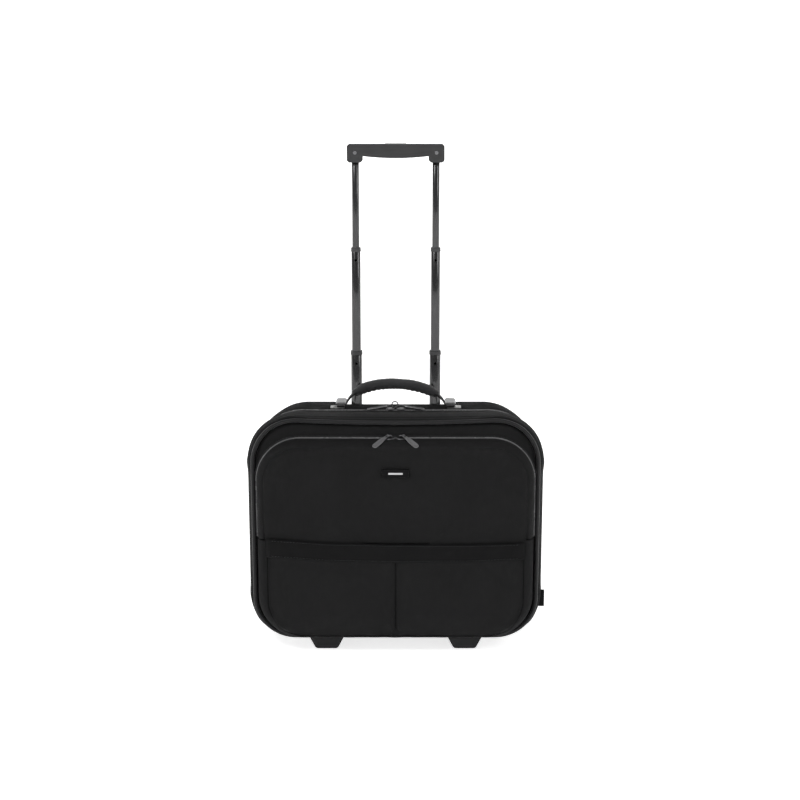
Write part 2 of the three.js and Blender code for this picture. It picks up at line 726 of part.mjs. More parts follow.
bothSides((side, word) => {
  const topHalf = 25;
  const bottomHalf = 17;
  const foot = new THREE.Shape();
  const x = side * FOOT_X;
  const top = CASE_BOTTOM - GAP;
  foot.moveTo(x - bottomHalf + 4, 0);
  foot.lineTo(x + bottomHalf - 4, 0);
  foot.quadraticCurveTo(x + bottomHalf, 0, x + bottomHalf + 2, 5);
  foot.lineTo(x + topHalf, top);
  foot.lineTo(x - topHalf, top);
  foot.lineTo(x - bottomHalf - 2, 5);
  foot.quadraticCurveTo(x - bottomHalf, 0, x - bottomHalf + 4, 0);
  foot.closePath();
  add(`front_foot_${word}`, alongY(foot, LID_Y + 6, LID_Y + 36, 3), plastic);
});

// ---------------------------------------------------------------- the zipped pocket on the front

const POCKET_TOP_RADIUS = 56;
const POCKET_BOTTOM_RADIUS = 58;
const ZIP_RIBBON = 3.2; // how far the pocket's zip stands off the front half

function pocketBase(inset) {
  const half = POCKET_BASE_HALF - inset;
  const radii = [POCKET_TOP_RADIUS + 6 - inset, POCKET_BOTTOM_RADIUS + 6 - inset];
  return roundedRect(-half, POCKET_BASE_BOTTOM + inset, half, POCKET_BASE_TOP - inset, ...radii);
}

function pocketFace(inset) {
  const half = POCKET_FACE_HALF - inset;
  const radii = [POCKET_TOP_RADIUS - inset, POCKET_BOTTOM_RADIUS - inset];
  return roundedRect(-half, POCKET_FACE_BOTTOM + inset, half, POCKET_FACE_TOP - inset, ...radii);
}

// The whole pocket as an open-backed shell, from its base at baseY to its face.
function pocketShell(baseY) {
  const outer = loftY(pocketFace(0), POCKET_Y, pocketBase(0), baseY);
  const inner = loftY(pocketFace(SKIN), POCKET_Y + SKIN, pocketBase(SKIN), baseY + 0.01);
  return cut(outer, inner);
}

const above = (z) => box(-300, 300, -200, 0, z, 500);
const below = (z) => box(-300, 300, -200, 0, -10, z);

add("pocket_flap", common(pocketShell(LID_Y - ZIP_RIBBON - GAP), above(FOLD_Z + 0.5)), nylon);
add("pocket_lower", common(pocketShell(LID_Y - GAP), below(FOLD_Z - 1)), nylon);

const ribbon = withHole(pocketBase(-1.5), pocketBase(SKIN));
const pocketZip = alongY(ribbon, LID_Y - ZIP_RIBBON, LID_Y - GAP);
add("pocket_zip", common(pocketZip, above(FOLD_Z + 0.5)), zipTape);

// Two open-topped slip pockets side by side on the lower part: one sheet, stitched down the middle.
const hemTop = FOLD_Z - 2;
const hemBottom = hemTop - HEM_HEIGHT;
const SLIP_SKIN = 1.3;
const SLIP_EDGE = 3;
const slipY = POCKET_Y - GAP - SLIP_ROOM;

function slipPanel() {
  const outer = alongY(pocketFace(1), slipY - SLIP_SKIN, POCKET_Y - GAP);
  const inner = alongY(pocketFace(1 + SLIP_EDGE), slipY, POCKET_Y + 1);
  const seam = box(-1, 1, slipY - 0.5, POCKET_Y - GAP, POCKET_FACE_BOTTOM + 2, hemTop - 1);
  return join(common(cut(outer, inner), below(hemTop - 1)), seam);
}

add("slip_panel", slipPanel(), nylon);
const hemY = slipY - SLIP_SKIN - GAP;
add("hem_band", box(-POCKET_FACE_HALF, POCKET_FACE_HALF, hemY - 1.3, hemY, hemBottom, hemTop), webbing);

const badge = roundedRect(-21, 272.5, 21, 288.5, 1.5, 1.5);
add("badge", alongY(badge, POCKET_Y - GAP - 1, POCKET_Y - GAP, 2), label);

// ---------------------------------------------------------------- zip sliders and pull tabs

const SLIDER_HALF = 4; // half width across the zip
const SLIDER_BASE = 2.2; // thickness of the slider's body
const TAB_PIVOT_Z = 6; // height of the tab's pivot above the slider's base
const TAB_THICKNESS = 1.2;
const TAB_TILT = THREE.MathUtils.degToRad(9); // the tab droops by this much at rest
const EYE_HALF = 2.5; // half length of the eye in the tab
const EYE_RIM = 1;

// A slider on its base at the origin, its zip along X, with an arch that holds the tab's eye.
// The tab's pivot is at (pivotX, 0, TAB_PIVOT_Z).
function zipSlider(x0, x1, pivotX) {
  const base = new THREE.Shape();
  base.moveTo(x0, -SLIDER_HALF + 1);
  base.lineTo(x1 - 4, -SLIDER_HALF);
  base.lineTo(x1, -SLIDER_HALF + 2);
  base.lineTo(x1, SLIDER_HALF - 2);
  base.lineTo(x1 - 4, SLIDER_HALF);
  base.lineTo(x0, SLIDER_HALF - 1);
  base.closePath();
  const wire = 1;
  const post = pivotX + TAB_THICKNESS / 2 + 0.15;
  const bar = TAB_PIVOT_Z + TAB_THICKNESS / 2 + 0.65;
  const archStart = pivotX - 6;
  const arch = new THREE.Shape();
  arch.moveTo(post + wire, SLIDER_BASE - 0.5);
  arch.lineTo(post + wire, bar);
  arch.lineTo(post, bar + wire);
  arch.lineTo(archStart, bar + wire);
  arch.lineTo(archStart - wire, bar);
  arch.lineTo(archStart - wire, SLIDER_BASE - 0.5);
  arch.lineTo(archStart, SLIDER_BASE - 0.5);
  arch.lineTo(archStart, bar);
  arch.lineTo(post, bar);
  arch.lineTo(post, SLIDER_BASE - 0.5);
  arch.closePath();
  return join(alongZ(base, 0, SLIDER_BASE), alongY(arch, -0.6, 0.6));
}

// A flat pull tab along +X, with its pivot at the origin.
function pullTab(length, width) {
  const neck = 2.6;
  const half = width / 2;
  const tab = new THREE.Shape();
  tab.moveTo(-EYE_HALF - EYE_RIM, -neck);
  tab.lineTo(length * 0.25, -neck);
  tab.lineTo(length * 0.4, -half);
  tab.lineTo(length - half, -half);
  tab.absarc(length - half, 0, half, -Math.PI / 2, Math.PI / 2);
  tab.lineTo(length * 0.4, half);
  tab.lineTo(length * 0.25, neck);
  tab.lineTo(-EYE_HALF - EYE_RIM, neck);
  tab.closePath();
  const eye = roundedRect(-EYE_HALF, -1.5, EYE_HALF, 1.5, 0, 0);
  return alongZ(withHole(tab, eye), -TAB_THICKNESS / 2, TAB_THICKNESS / 2, 3);
}

// Mirrors a solid to the left side and turns its faces outwards again.
function mirrored(geometry, side) {
  return side > 0 ? geometry : geometryOf(solidOf(geometry).mirror([1, 0, 0]));
}

// The main zip's sliders meet in the middle of the top. A ring for a padlock stands on the left one.
const MAIN_SLIDER_Z = CASE_TOP + 0.4;
const MAIN_PIVOT_X = 11.5;
const MAIN_TAB_LENGTH = 32;

function mainSlider(side) {
  const slider = mirrored(zipSlider(1.5, 14.5, MAIN_PIVOT_X).translate(0, ZIP_Y, MAIN_SLIDER_Z), side);
  if (side > 0) return slider;
  const ring = new THREE.TorusGeometry(4.6, 0.9, 5, 14).rotateX(Math.PI / 2);
  const stem = box(-4.6, -2.4, ZIP_Y - 0.8, ZIP_Y + 0.8, MAIN_SLIDER_Z + 1, MAIN_SLIDER_Z + 4.5);
  return join(slider, stem, ring.translate(-1.2, ZIP_Y, MAIN_SLIDER_Z + 8.2));
}

bothSides((side, word) => {
  add(`main_slider_${word}`, mainSlider(side), zipMetal);
  const tab = pullTab(MAIN_TAB_LENGTH, 8).rotateY(TAB_TILT);
  tab.translate(MAIN_PIVOT_X, ZIP_Y, MAIN_SLIDER_Z + TAB_PIVOT_Z);
  add(`main_puller_${word}`, mirrored(tab, side), zipMetal);
});

// The pocket's sliders sit on the flap's edge, tipped to match its sloping gusset.
const POCKET_SLOPE = Math.atan2(POCKET_BASE_TOP - POCKET_FACE_TOP, LID_Y - ZIP_RIBBON - POCKET_Y);
const POCKET_SLIDER = [0, LID_Y - 5.5, POCKET_BASE_TOP + 0.6];
const POCKET_PIVOT_X = 11;
const POCKET_TAB_LENGTH = 29;
const POCKET_TAB_TURN = THREE.MathUtils.degToRad(-46); // the tab hangs towards the front

bothSides((side, word) => {
  const slider = zipSlider(1.5, 14, POCKET_PIVOT_X).rotateX(POCKET_SLOPE).translate(...POCKET_SLIDER);
  add(`pocket_slider_${word}`, mirrored(slider, side), zipMetal);
  const tab = pullTab(POCKET_TAB_LENGTH, 8.5).rotateY(TAB_TILT).rotateZ(POCKET_TAB_TURN);
  tab.translate(POCKET_PIVOT_X + 1.25, 0, TAB_PIVOT_Z).rotateX(POCKET_SLOPE).translate(...POCKET_SLIDER);
  add(`pocket_puller_${word}`, mirrored(tab, side), zipMetal);
});

export default rollingCase;
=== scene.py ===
"""The looks of a soft-sided rolling case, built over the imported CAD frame, in metres with +Z up."""

import json
import math

import bmesh
import bpy
from mathutils import Matrix, Vector, noise


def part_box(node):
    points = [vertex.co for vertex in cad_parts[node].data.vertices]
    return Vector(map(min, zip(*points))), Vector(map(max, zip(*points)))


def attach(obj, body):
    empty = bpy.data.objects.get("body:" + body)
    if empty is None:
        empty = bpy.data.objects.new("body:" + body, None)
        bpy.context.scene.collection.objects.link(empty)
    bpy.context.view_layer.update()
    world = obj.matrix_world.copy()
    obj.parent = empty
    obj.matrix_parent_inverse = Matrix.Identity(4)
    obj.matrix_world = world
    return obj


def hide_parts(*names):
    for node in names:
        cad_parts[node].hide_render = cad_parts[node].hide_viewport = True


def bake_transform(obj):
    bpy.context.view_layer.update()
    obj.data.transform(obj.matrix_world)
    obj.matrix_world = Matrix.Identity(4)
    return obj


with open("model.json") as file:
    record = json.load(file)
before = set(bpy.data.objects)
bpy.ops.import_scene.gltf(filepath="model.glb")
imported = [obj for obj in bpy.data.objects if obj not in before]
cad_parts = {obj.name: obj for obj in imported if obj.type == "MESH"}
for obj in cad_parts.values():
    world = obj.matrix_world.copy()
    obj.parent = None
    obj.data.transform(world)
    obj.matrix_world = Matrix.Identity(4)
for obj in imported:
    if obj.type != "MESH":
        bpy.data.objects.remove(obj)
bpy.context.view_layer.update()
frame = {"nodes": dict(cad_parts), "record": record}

# ---------------------------------------------------------------- sizes, from the frame

BODY_LOW, BODY_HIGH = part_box("rear_gusset")
HALF = BODY_HIGH[0]
BOTTOM = BODY_LOW[2]
TOP = BODY_HIGH[2]
LID_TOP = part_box("lid_gusset")[1][2] + 0.0085
TOP_RADIUS = 0.062
BOTTOM_RADIUS = 0.066
LID_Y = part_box("lid_front_panel")[0][1]
ZIP_Y = (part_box("main_zip_front")[1][1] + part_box("main_zip_rear")[0][1]) / 2
BACK_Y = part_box("back_panel")[1][1]
FLAP_LOW, FLAP_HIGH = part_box("pocket_flap")
LOWER_LOW, LOWER_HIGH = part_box("pocket_lower")
SLIP_LOW, SLIP_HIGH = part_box("slip_panel")
HEM_LOW, HEM_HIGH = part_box("hem_band")
ZIP_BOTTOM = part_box("main_zip_front")[0][2]


def middle(node):
    low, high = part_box(node)
    return Vector(((low[0] + high[0]) / 2, (low[1] + high[1]) / 2, (low[2] + high[2]) / 2))


# ---------------------------------------------------------------- camera, floor and light

CAMERA_BACK = 1.986  # from the front face to the camera
CAMERA_HEIGHT = 0.807
CAMERA_SIDE = 0.0065
CAMERA_PITCH = math.radians(12)

camera_data = bpy.data.cameras.new("camera")
camera_data.lens = 63
camera_data.sensor_width = 36
camera = bpy.data.objects.new("camera", camera_data)
camera.location = (CAMERA_SIDE, LID_Y - CAMERA_BACK, CAMERA_HEIGHT)
camera.rotation_euler = (math.pi / 2 - CAMERA_PITCH, 0, 0)
bpy.context.scene.collection.objects.link(camera)
bpy.context.scene.camera = camera


def area_light(name, place, aim, size, power):
    data = bpy.data.lights.new(name, "AREA")
    data.shape = "DISK"
    data.size = size
    data.energy = power
    light = bpy.data.objects.new(name, data)
    light.location = place
    light.rotation_euler = (Vector(aim) - Vector(place)).to_track_quat("-Z", "Y").to_euler()
    bpy.context.scene.collection.objects.link(light)


area_light("key_light", (-1.1, -1.5, 2.2), (0, 0, 0.25), 0.9, 24)
area_light("fill_light", (1.8, -1.3, 1.7), (0, 0, 0.25), 0.7, 11)
area_light("top_light", (0.1, 0.8, 2.5), (0, 0, 0.3), 1.0, 12)
bpy.context.scene.view_settings.view_transform = "Standard"

world = bpy.data.worlds.new("studio")
bpy.context.scene.world = world
world.use_nodes = True
world.node_tree.nodes["Background"].inputs["Color"].default_value = (1, 1, 1, 1)
world.node_tree.nodes["Background"].inputs["Strength"].default_value = 0.30

# ---------------------------------------------------------------- materials


class Nodes:
    """A new material and short ways to add and wire its nodes."""

    def __init__(self, name, color, roughness, metallic=0.0):
        self.material = bpy.data.materials.new(name)
        self.material.use_nodes = True
        self.tree = self.material.node_tree
        self.shader = self.tree.nodes["Principled BSDF"]
        self.set("Base Color", (*color, 1))
        self.set("Roughness", roughness)
        self.set("Metallic", metallic)

    def set(self, socket, value):
        self.shader.inputs[socket].default_value = value

    def node(self, kind, **values):
        made = self.tree.nodes.new(kind)
        for key, value in values.items():
            if key in made.inputs:
                made.inputs[key].default_value = value
            else:
                setattr(made, key, value)
        return made

    def link(self, out, into):
        self.tree.links.new(out, into)

    def coordinates(self, kind):
        return self.node("ShaderNodeTexCoord").outputs[kind]

    def scaled(self, source, scale):
        mapping = self.node("ShaderNodeMapping")
        mapping.inputs["Scale"].default_value = scale
        self.link(source, mapping.inputs["Vector"])
        return mapping.outputs["Vector"]

    def noise(self, source, scale, detail=3.0, roughness=0.5):
        made = self.node("ShaderNodeTexNoise")
        made.inputs["Scale"].default_value = scale
        made.inputs["Detail"].default_value = detail
        made.inputs["Roughness"].default_value = roughness
        self.link(source, made.inputs["Vector"])
        return made.outputs["Fac"]

    def wave(self, source, scale, direction, distortion=0.0):
        made = self.node("ShaderNodeTexWave", wave_type="BANDS", bands_direction=direction)
        made.inputs["Scale"].default_value = scale
        made.inputs["Distortion"].default_value = distortion
        self.link(source, made.inputs["Vector"])
        return made.outputs["Fac"]

    def math(self, operation, first, second):
        made = self.node("ShaderNodeMath", operation=operation)
        for value, socket in ((first, made.inputs[0]), (second, made.inputs[1])):
            if isinstance(value, (int, float)):
                socket.default_value = value
            else:
                self.link(value, socket)
        return made.outputs[0]

    def ramp(self, source, stops):
        made = self.node("ShaderNodeValToRGB")
        elements = made.color_ramp.elements
        while len(elements) < len(stops):
            elements.new(0.5)
        for element, (position, color) in zip(elements, stops):
            element.position = position
            element.color = (*color, 1)
        self.link(source, made.inputs["Fac"])
        return made.outputs["Color"]

    def remap(self, source, low, high):
        made = self.node("ShaderNodeMapRange")
        made.inputs["To Min"].default_value = low
        made.inputs["To Max"].default_value = high
        self.link(source, made.inputs["Value"])
        return made.outputs["Result"]

    def bump(self, height, distance, strength=1.0, under=None):
        made = self.node("ShaderNodeBump")
        made.inputs["Strength"].default_value = strength
        made.inputs["Distance"].default_value = distance
        self.link(height, made.inputs["Height"])
        if under:
            self.link(under, made.inputs["Normal"])
        self.link(made.outputs["Normal"], self.shader.inputs["Normal"])
        return made.outputs["Normal"]


def shades(color, spread):
    """Two colours, a little darker and a little lighter than the one given."""
    return [tuple(c * (1 - spread) for c in color), tuple(c * (1 + spread) for c in color)]


def woven(name, color, thread, roughness=0.8, sheen=0.03, depth=0.00012, spread=0.22):
    """Plain-woven fabric. Threads of the given width run along X, Y and Z, and each set fades where the cloth
    faces along its axis, so the weave needs no unwrapping."""
    m = Nodes(name, color, roughness)
    place = m.coordinates("Object")
    facing = m.node("ShaderNodeSeparateXYZ")
    m.link(m.coordinates("Normal"), facing.inputs["Vector"])
    turned = [m.math("ABSOLUTE", facing.outputs[axis], 0.0) for axis in "XYZ"]
    grid = m.scaled(place, [1 / (2 * thread)] * 3)
    ridges = [m.wave(grid, 0.318, axis, 0.6) for axis in "XYZ"]
    checker = m.node("ShaderNodeTexChecker", Scale=1 / thread)
    m.link(place, checker.inputs["Vector"])
    over = checker.outputs["Fac"]
    under = m.math("SUBTRACT", 1.0, over)
    upright = m.math("ADD", m.math("MULTIPLY", turned[0], over), m.math("MULTIPLY", turned[2], under))
    shares = [m.math("MULTIPLY", over, m.math("SUBTRACT", 1.0, turned[0])), upright,
              m.math("MULTIPLY", under, m.math("SUBTRACT", 1.0, turned[2]))]
    crossed = [m.math("MULTIPLY", ridge, share) for ridge, share in zip(ridges, shares)]
    weave = m.math("ADD", m.math("ADD", crossed[0], crossed[1]), crossed[2])
    patches = m.noise(place, 14, 4)
    slubs = m.noise(m.scaled(place, (240, 240, 70)), 1.0, 2)
    tone = m.math("ADD", m.math("MULTIPLY", patches, 0.6), m.math("MULTIPLY", slubs, 0.25))
    tone = m.math("ADD", tone, m.math("MULTIPLY", weave, 0.15))
    dark, light = shades(color, spread)
    m.link(m.ramp(tone, [(0.25, dark), (0.75, light)]), m.shader.inputs["Base Color"])
    m.link(m.remap(patches, roughness - 0.08, min(1.0, roughness + 0.1)), m.shader.inputs["Roughness"])
    soft = m.bump(m.noise(place, 55, 3), 0.0005, 0.35)
    m.bump(weave, depth, 0.8, soft)
    m.set("Sheen Weight", sheen)
    m.set("Sheen Roughness", 0.45)
    m.set("Specular IOR Level", 0.07)
    return m.material


def ribbed(name, color, rib, direction, roughness=0.7, depth=0.0003, sheen=0.05, spread=0.18):
    """Webbing, tape or cord with ribs of the given width across its UV."""
    m = Nodes(name, color, roughness)
    uv = m.coordinates("UV")
    ribs = m.wave(m.scaled(uv, (1 / rib, 1 / rib, 1)), 0.318, direction, 0.3)
    threads = m.noise(m.scaled(uv, (2600, 2600, 1)), 1.0, 2)
    place = m.coordinates("Object")
    patches = m.noise(place, 20, 3)
    tone = m.math("ADD", m.math("MULTIPLY", patches, 0.5), m.math("MULTIPLY", ribs, 0.4))
    dark, light = shades(color, spread)
    m.link(m.ramp(tone, [(0.2, dark), (0.8, light)]), m.shader.inputs["Base Color"])
    m.link(m.remap(patches, roughness - 0.08, min(1.0, roughness + 0.08)), m.shader.inputs["Roughness"])
    fine = m.bump(threads, 0.00008, 0.5)
    m.bump(ribs, depth, 0.8, fine)
    m.set("Sheen Weight", sheen)
    m.set("Specular IOR Level", 0.12)
    return m.material


def moulded(name, color, roughness, grain=1500, depth=0.00005, wear=0.35, specular=0.5):
    """Moulded plastic: fine spark-eroded grain, faint handling marks and lighter worn edges."""
    m = Nodes(name, color, roughness)
    place = m.coordinates("Object")
    patches = m.noise(place, 30, 4)
    marks = m.noise(m.scaled(place, (12, 60, 160)), 1.0, 4, 0.7)
    edges = m.node("ShaderNodeNewGeometry").outputs["Pointiness"]
    worn = m.ramp(edges, [(0.5, (0, 0, 0)), (0.62, (wear, wear, wear))])
    dark, light = shades(color, 0.12)
    body = m.ramp(patches, [(0.3, dark), (0.7, light)])
    mixed = m.node("ShaderNodeMixRGB", blend_type="ADD")
    mixed.inputs["Color2"].default_value = (*[c * 0.8 + 0.002 for c in color], 1)
    m.link(worn, mixed.inputs["Fac"])
    m.link(body, mixed.inputs["Color1"])
    m.link(mixed.outputs["Color"], m.shader.inputs["Base Color"])
    m.link(m.remap(marks, max(0.05, roughness - 0.1), roughness + 0.12), m.shader.inputs["Roughness"])
    m.bump(m.noise(place, grain, 2), depth, 0.6)
    m.set("Specular IOR Level", specular)
    return m.material


def metal(name, color, roughness, brushed=(1, 1, 60), metallic=1.0, coat=0.0):
    """Metal with a directional brush, small scratches and smudges."""
    m = Nodes(name, color, roughness, metallic)
    place = m.coordinates("Object")
    lines = m.noise(m.scaled(place, tuple(40 * b for b in brushed)), 1.0, 3, 0.6)
    smudge = m.noise(place, 24, 4)
    dark, light = shades(color, 0.15)
    m.link(m.ramp(smudge, [(0.3, dark), (0.7, light)]), m.shader.inputs["Base Color"])
    rough = m.math("ADD", m.math("MULTIPLY", lines, 0.12), m.math("MULTIPLY", smudge, 0.1))
    m.link(m.math("ADD", rough, roughness - 0.1), m.shader.inputs["Roughness"])
    m.bump(lines, 0.00003, 0.4)
    m.set("Coat Weight", coat)
    m.set("Coat Roughness", 0.08)
    return m.material


def coil(name, color, pitch, roughness=0.3):
    """A nylon zip coil: glossy turns across its length."""
    m = Nodes(name, color, roughness)
    uv = m.coordinates("UV")
    turns = m.wave(m.scaled(uv, (1 / pitch, 1 / pitch, 1)), 0.318, "X", 0.0)
    dark, light = shades(color, 0.3)
    m.link(m.ramp(turns, [(0.1, dark), (0.9, light)]), m.shader.inputs["Base Color"])
    m.link(m.remap(m.noise(m.coordinates("Object"), 40, 3), roughness - 0.08, roughness + 0.12),
           m.shader.inputs["Roughness"])
    m.bump(turns, 0.0003, 0.6)
    m.set("Specular IOR Level", 0.7)
    return m.material


def floor_surface():
    """A white studio sweep that glows a little, so that it stays white all round."""
    m = Nodes("studio_sweep", (0.90, 0.90, 0.90), 0.7)
    m.link(m.remap(m.noise(m.coordinates("Object"), 3, 2), 0.65, 0.75), m.shader.inputs["Roughness"])
    m.set("Specular IOR Level", 0.0)
    m.set("Emission Color", (1, 1, 1, 1))
    m.set("Emission Strength", 0.72)
    m.material.cycles.emission_sampling = "NONE"
    return m.material


NYLON = woven("nylon_cloth", (0.0084, 0.0084, 0.0086), 0.00045)
NYLON_GUSSET = woven("nylon_gusset_cloth", (0.0084, 0.0084, 0.0087), 0.00045, 0.85, 0.015)
LINING = woven("lining_cloth", (0.06, 0.06, 0.064), 0.0003, 0.6, 0.15, 0.00006, 0.12)
PAD_CLOTH = woven("brushed_pad_cloth", (0.03, 0.03, 0.032), 0.0004, 0.9, 0.3, 0.00008)
WEBBING = ribbed("webbing_band", (0.0034, 0.0034, 0.0036), 0.0016, "Y", 0.85, 0.0002, 0.01)
STRAP = ribbed("handle_webbing", (0.0085, 0.0085, 0.0088), 0.0012, "X", 0.7)
WRAP = ribbed("handle_wrap", (0.021, 0.021, 0.022), 0.0014, "X", 0.62, 0.00025, 0.12)
CORD = ribbed("cord_cover", (0.0115, 0.0115, 0.012), 0.0009, "X", 0.38, 0.00012, 0.05)
TAPE = ribbed("zip_tape_cloth", (0.010, 0.010, 0.0105), 0.0007, "Y", 0.6, 0.0001)
# The zip coil is given a grey far lighter than the black cloth: a painted highlight that stands in for the
# shine along both zips.
COIL_PAINTED_HIGHLIGHT = coil("zip_coil_painted_highlight", (0.085, 0.085, 0.087), 0.0011, 0.26)
# A near-black line for the seams and the groove by the front cord, darker than the cloth: painted shade that
# stands in for the shadow in them.
SEAM_SHADE = ribbed("painted_seam_shade", (0.0012, 0.0012, 0.0013), 0.0009, "X", 0.9, 0.0001, 0.0)
THREAD = ribbed("sewing_thread", (0.014, 0.014, 0.015), 0.0004, "X", 0.5, 0.00005)
SLIDER_METAL = metal("zip_slider_metal", (0.16, 0.16, 0.165), 0.32)
RIM_METAL = metal("pull_rim_metal", (0.34, 0.34, 0.35), 0.28)
PULL_RUBBER = moulded("pull_tab_rubber", (0.082, 0.082, 0.084), 0.5, 2200)
DARK_PLASTIC = moulded("dark_plastic", (0.0080, 0.0080, 0.0083), 0.6, specular=0.15)
COLLAR_PLASTIC = moulded("collar_plastic", (0.030, 0.030, 0.031), 0.45, specular=0.35)
GRIP_PLASTIC = moulded("grip_plastic", (0.023, 0.023, 0.0236), 0.6, 1200, 0.00007, 0.3, 0.25)
BEZEL_PLASTIC = moulded("bezel_plastic", (0.22, 0.22, 0.222), 0.42, 1800, 0.00004, 0.2)
TUBE_METAL = metal("tube_lacquer", (0.034, 0.034, 0.035), 0.2, (60, 60, 1), 0.85, 0.6)
STEEL = metal("satin_steel", (0.30, 0.30, 0.295), 0.36)
RUBBER = moulded("wheel_rubber", (0.012, 0.012, 0.012), 0.75, 900, 0.00012, 0.5)
HUB_PLASTIC = moulded("hub_plastic", (0.09, 0.09, 0.092), 0.45)
BOARD = moulded("pressed_board", (0.02, 0.02, 0.021), 0.7, 420, 0.0002, 0.15)
LABEL = moulded("label_film", (0.0022, 0.0022, 0.0024), 0.6, 800, 0.00002, 0.0, 0.08)
LABEL_BAR = moulded("label_bar", (0.42, 0.42, 0.43), 0.5, 900, 0.00003, 0.0)

# ---------------------------------------------------------------- mesh helpers


def piece(name, verts, faces, body, material, uvs=None, replaces=()):
    """A new mesh that rides on a body, or on none.
    uvs holds one (u, v) for each corner of each face, in order."""
    mesh = bpy.data.meshes.new(name)
    mesh.from_pydata([tuple(v) for v in verts], [], faces)
    layer = mesh.uv_layers.new(name="UVMap")
    if uvs is None:
        uvs = [(verts[i][0] + verts[i][1], verts[i][2]) for f in faces for i in f]
    for loop, uv in zip(layer.data, uvs):
        loop.uv = uv
    mesh.polygons.foreach_set("use_smooth", [True] * len(mesh.polygons))
    mesh.materials.append(material)
    mesh.validate()
    obj = bpy.data.objects.new(name, mesh)
    bpy.context.scene.collection.objects.link(obj)
    if body:
        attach(obj, body)
    if replaces:
        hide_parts(*replaces)
    return obj


def bevel(obj, width, segments=3, angle=30):
    made = obj.modifiers.new("bevel", "BEVEL")
    made.width = width
    made.segments = segments
    made.limit_method = "ANGLE"
    made.angle_limit = math.radians(angle)
    made.harden_normals = True
    return obj


def subdivide(obj, levels=1):
    made = obj.modifiers.new("subdivision", "SUBSURF")
    made.levels = levels
    made.render_levels = levels
    return obj


def solidify(obj, thickness, offset=-1):
    made = obj.modifiers.new("thickness", "SOLIDIFY")
    made.thickness = thickness
    made.offset = offset
    return obj


def running(points, closed=False):
    """The distance along a line of points at each point, and once more at the end if it closes."""
    total = [0.0]
    line = list(points) + ([points[0]] if closed else [])
    for a, b in zip(line, line[1:]):
        total.append(total[-1] + (Vector(b) - Vector(a)).length)
    return total


def loft(name, rings, body, material, closed=True, flat_uv=False, caps=False, flip=False, replaces=()):
    """A skin through rings that have the same number of points. UV runs in metres round and along."""
    n = len(rings[0])
    verts = [p for ring in rings for p in ring]
    around = running(rings[len(rings) // 2], closed)
    along = running([ring[0] for ring in rings])
    faces = []
    uvs = []
    for j in range(len(rings) - 1):
        for i in range(n if closed else n - 1):
            k = (i + 1) % n
            corners = [(i, j, i), (k, j, i + 1), (k, j + 1, i + 1), (i, j + 1, i)]
            if flip:
                corners.reverse()
            faces.append([r * n + c for c, r, _ in corners])
            if flat_uv:
                uvs += [(rings[r][c][0], rings[r][c][2]) for c, r, _ in corners]
            else:
                uvs += [(around[a], along[r]) for _, r, a in corners]
    if caps:
        ends = [(len(rings) - 1, range(n))]
        if caps != "last":
            ends.append((0, range(n - 1, -1, -1)))
        for ring_at, order in ends:
            cap = [ring_at * n + i for i in order]
            if flip:
                cap.reverse()
            faces.append(cap)
            uvs += [(verts[i][0], verts[i][2]) for i in cap]
    return piece(name, verts, faces, body, material, uvs, replaces)


def outline(inset, y, half=HALF, low=BOTTOM, high=TOP, top_radius=TOP_RADIUS, bottom_radius=BOTTOM_RADIUS,
            flat=12, corner=12, side=16):
    """A closed rounded rectangle at a depth y, drawn in by a distance.
    It starts at the bottom's middle and goes round by the right."""
    half -= inset
    low += inset
    high -= inset
    top = max(top_radius - inset, 0.002)
    bottom = max(bottom_radius - inset, 0.002)
    points = []

    def straight(x0, z0, x1, z1, steps):
        for i in range(steps):
            t = i / steps
            points.append(Vector((x0 + (x1 - x0) * t, y, z0 + (z1 - z0) * t)))

    def arc(cx, cz, radius, start):
        for i in range(corner):
            a = start + math.pi / 2 * i / corner
            points.append(Vector((cx + radius * math.cos(a), y, cz + radius * math.sin(a))))

    straight(0, low, half - bottom, low, flat)
    arc(half - bottom, low + bottom, bottom, -math.pi / 2)
    straight(half, low + bottom, half, high - top, side)
    arc(half - top, high - top, top, 0)
    straight(half - top, high, -half + top, high, 2 * flat)
    arc(-half + top, high - top, top, math.pi / 2)
    straight(-half, high - top, -half, low + bottom, side)
    arc(-half + bottom, low + bottom, bottom, math.pi)
    straight(-half + bottom, low, 0, low, flat)
    return points


def arch(inset, y, half, foot, crown, radius, flat=30, corner=12, side=14):
    """An open rounded arch from its left foot over (or under) to its right foot."""
    half -= inset
    way = 1 if crown > foot else -1
    crown -= way * inset
    r = max(radius - inset, 0.0015)
    r = min(r, abs(crown - foot) * 0.98)
    spring = crown - way * r
    points = [Vector((-half, y, foot + (spring - foot) * i / side)) for i in range(side)]
    for i in range(corner):
        a = math.pi / 2 * i / corner
        points.append(Vector((-half + r - r * math.cos(a), y, spring + way * r * math.sin(a))))
    points += [Vector((-half + r + 2 * (half - r) * i / flat, y, crown)) for i in range(flat)]
    for i in range(corner):
        a = math.pi / 2 * i / corner
        points.append(Vector((half - r + r * math.sin(a), y, spring + way * r * math.cos(a))))
    points += [Vector((half, y, spring + (foot - spring) * i / side)) for i in range(side + 1)]
    return points


def blended(keys, x):
    """A smooth curve through (x, value) keys."""
    if x <= keys[0][0]:
        return keys[0][1]
    for (x0, v0), (x1, v1) in zip(keys, keys[1:]):
        if x <= x1:
            t = (x - x0) / (x1 - x0)
            return v0 + (v1 - v0) * t * t * (3 - 2 * t)
    return keys[-1][1]


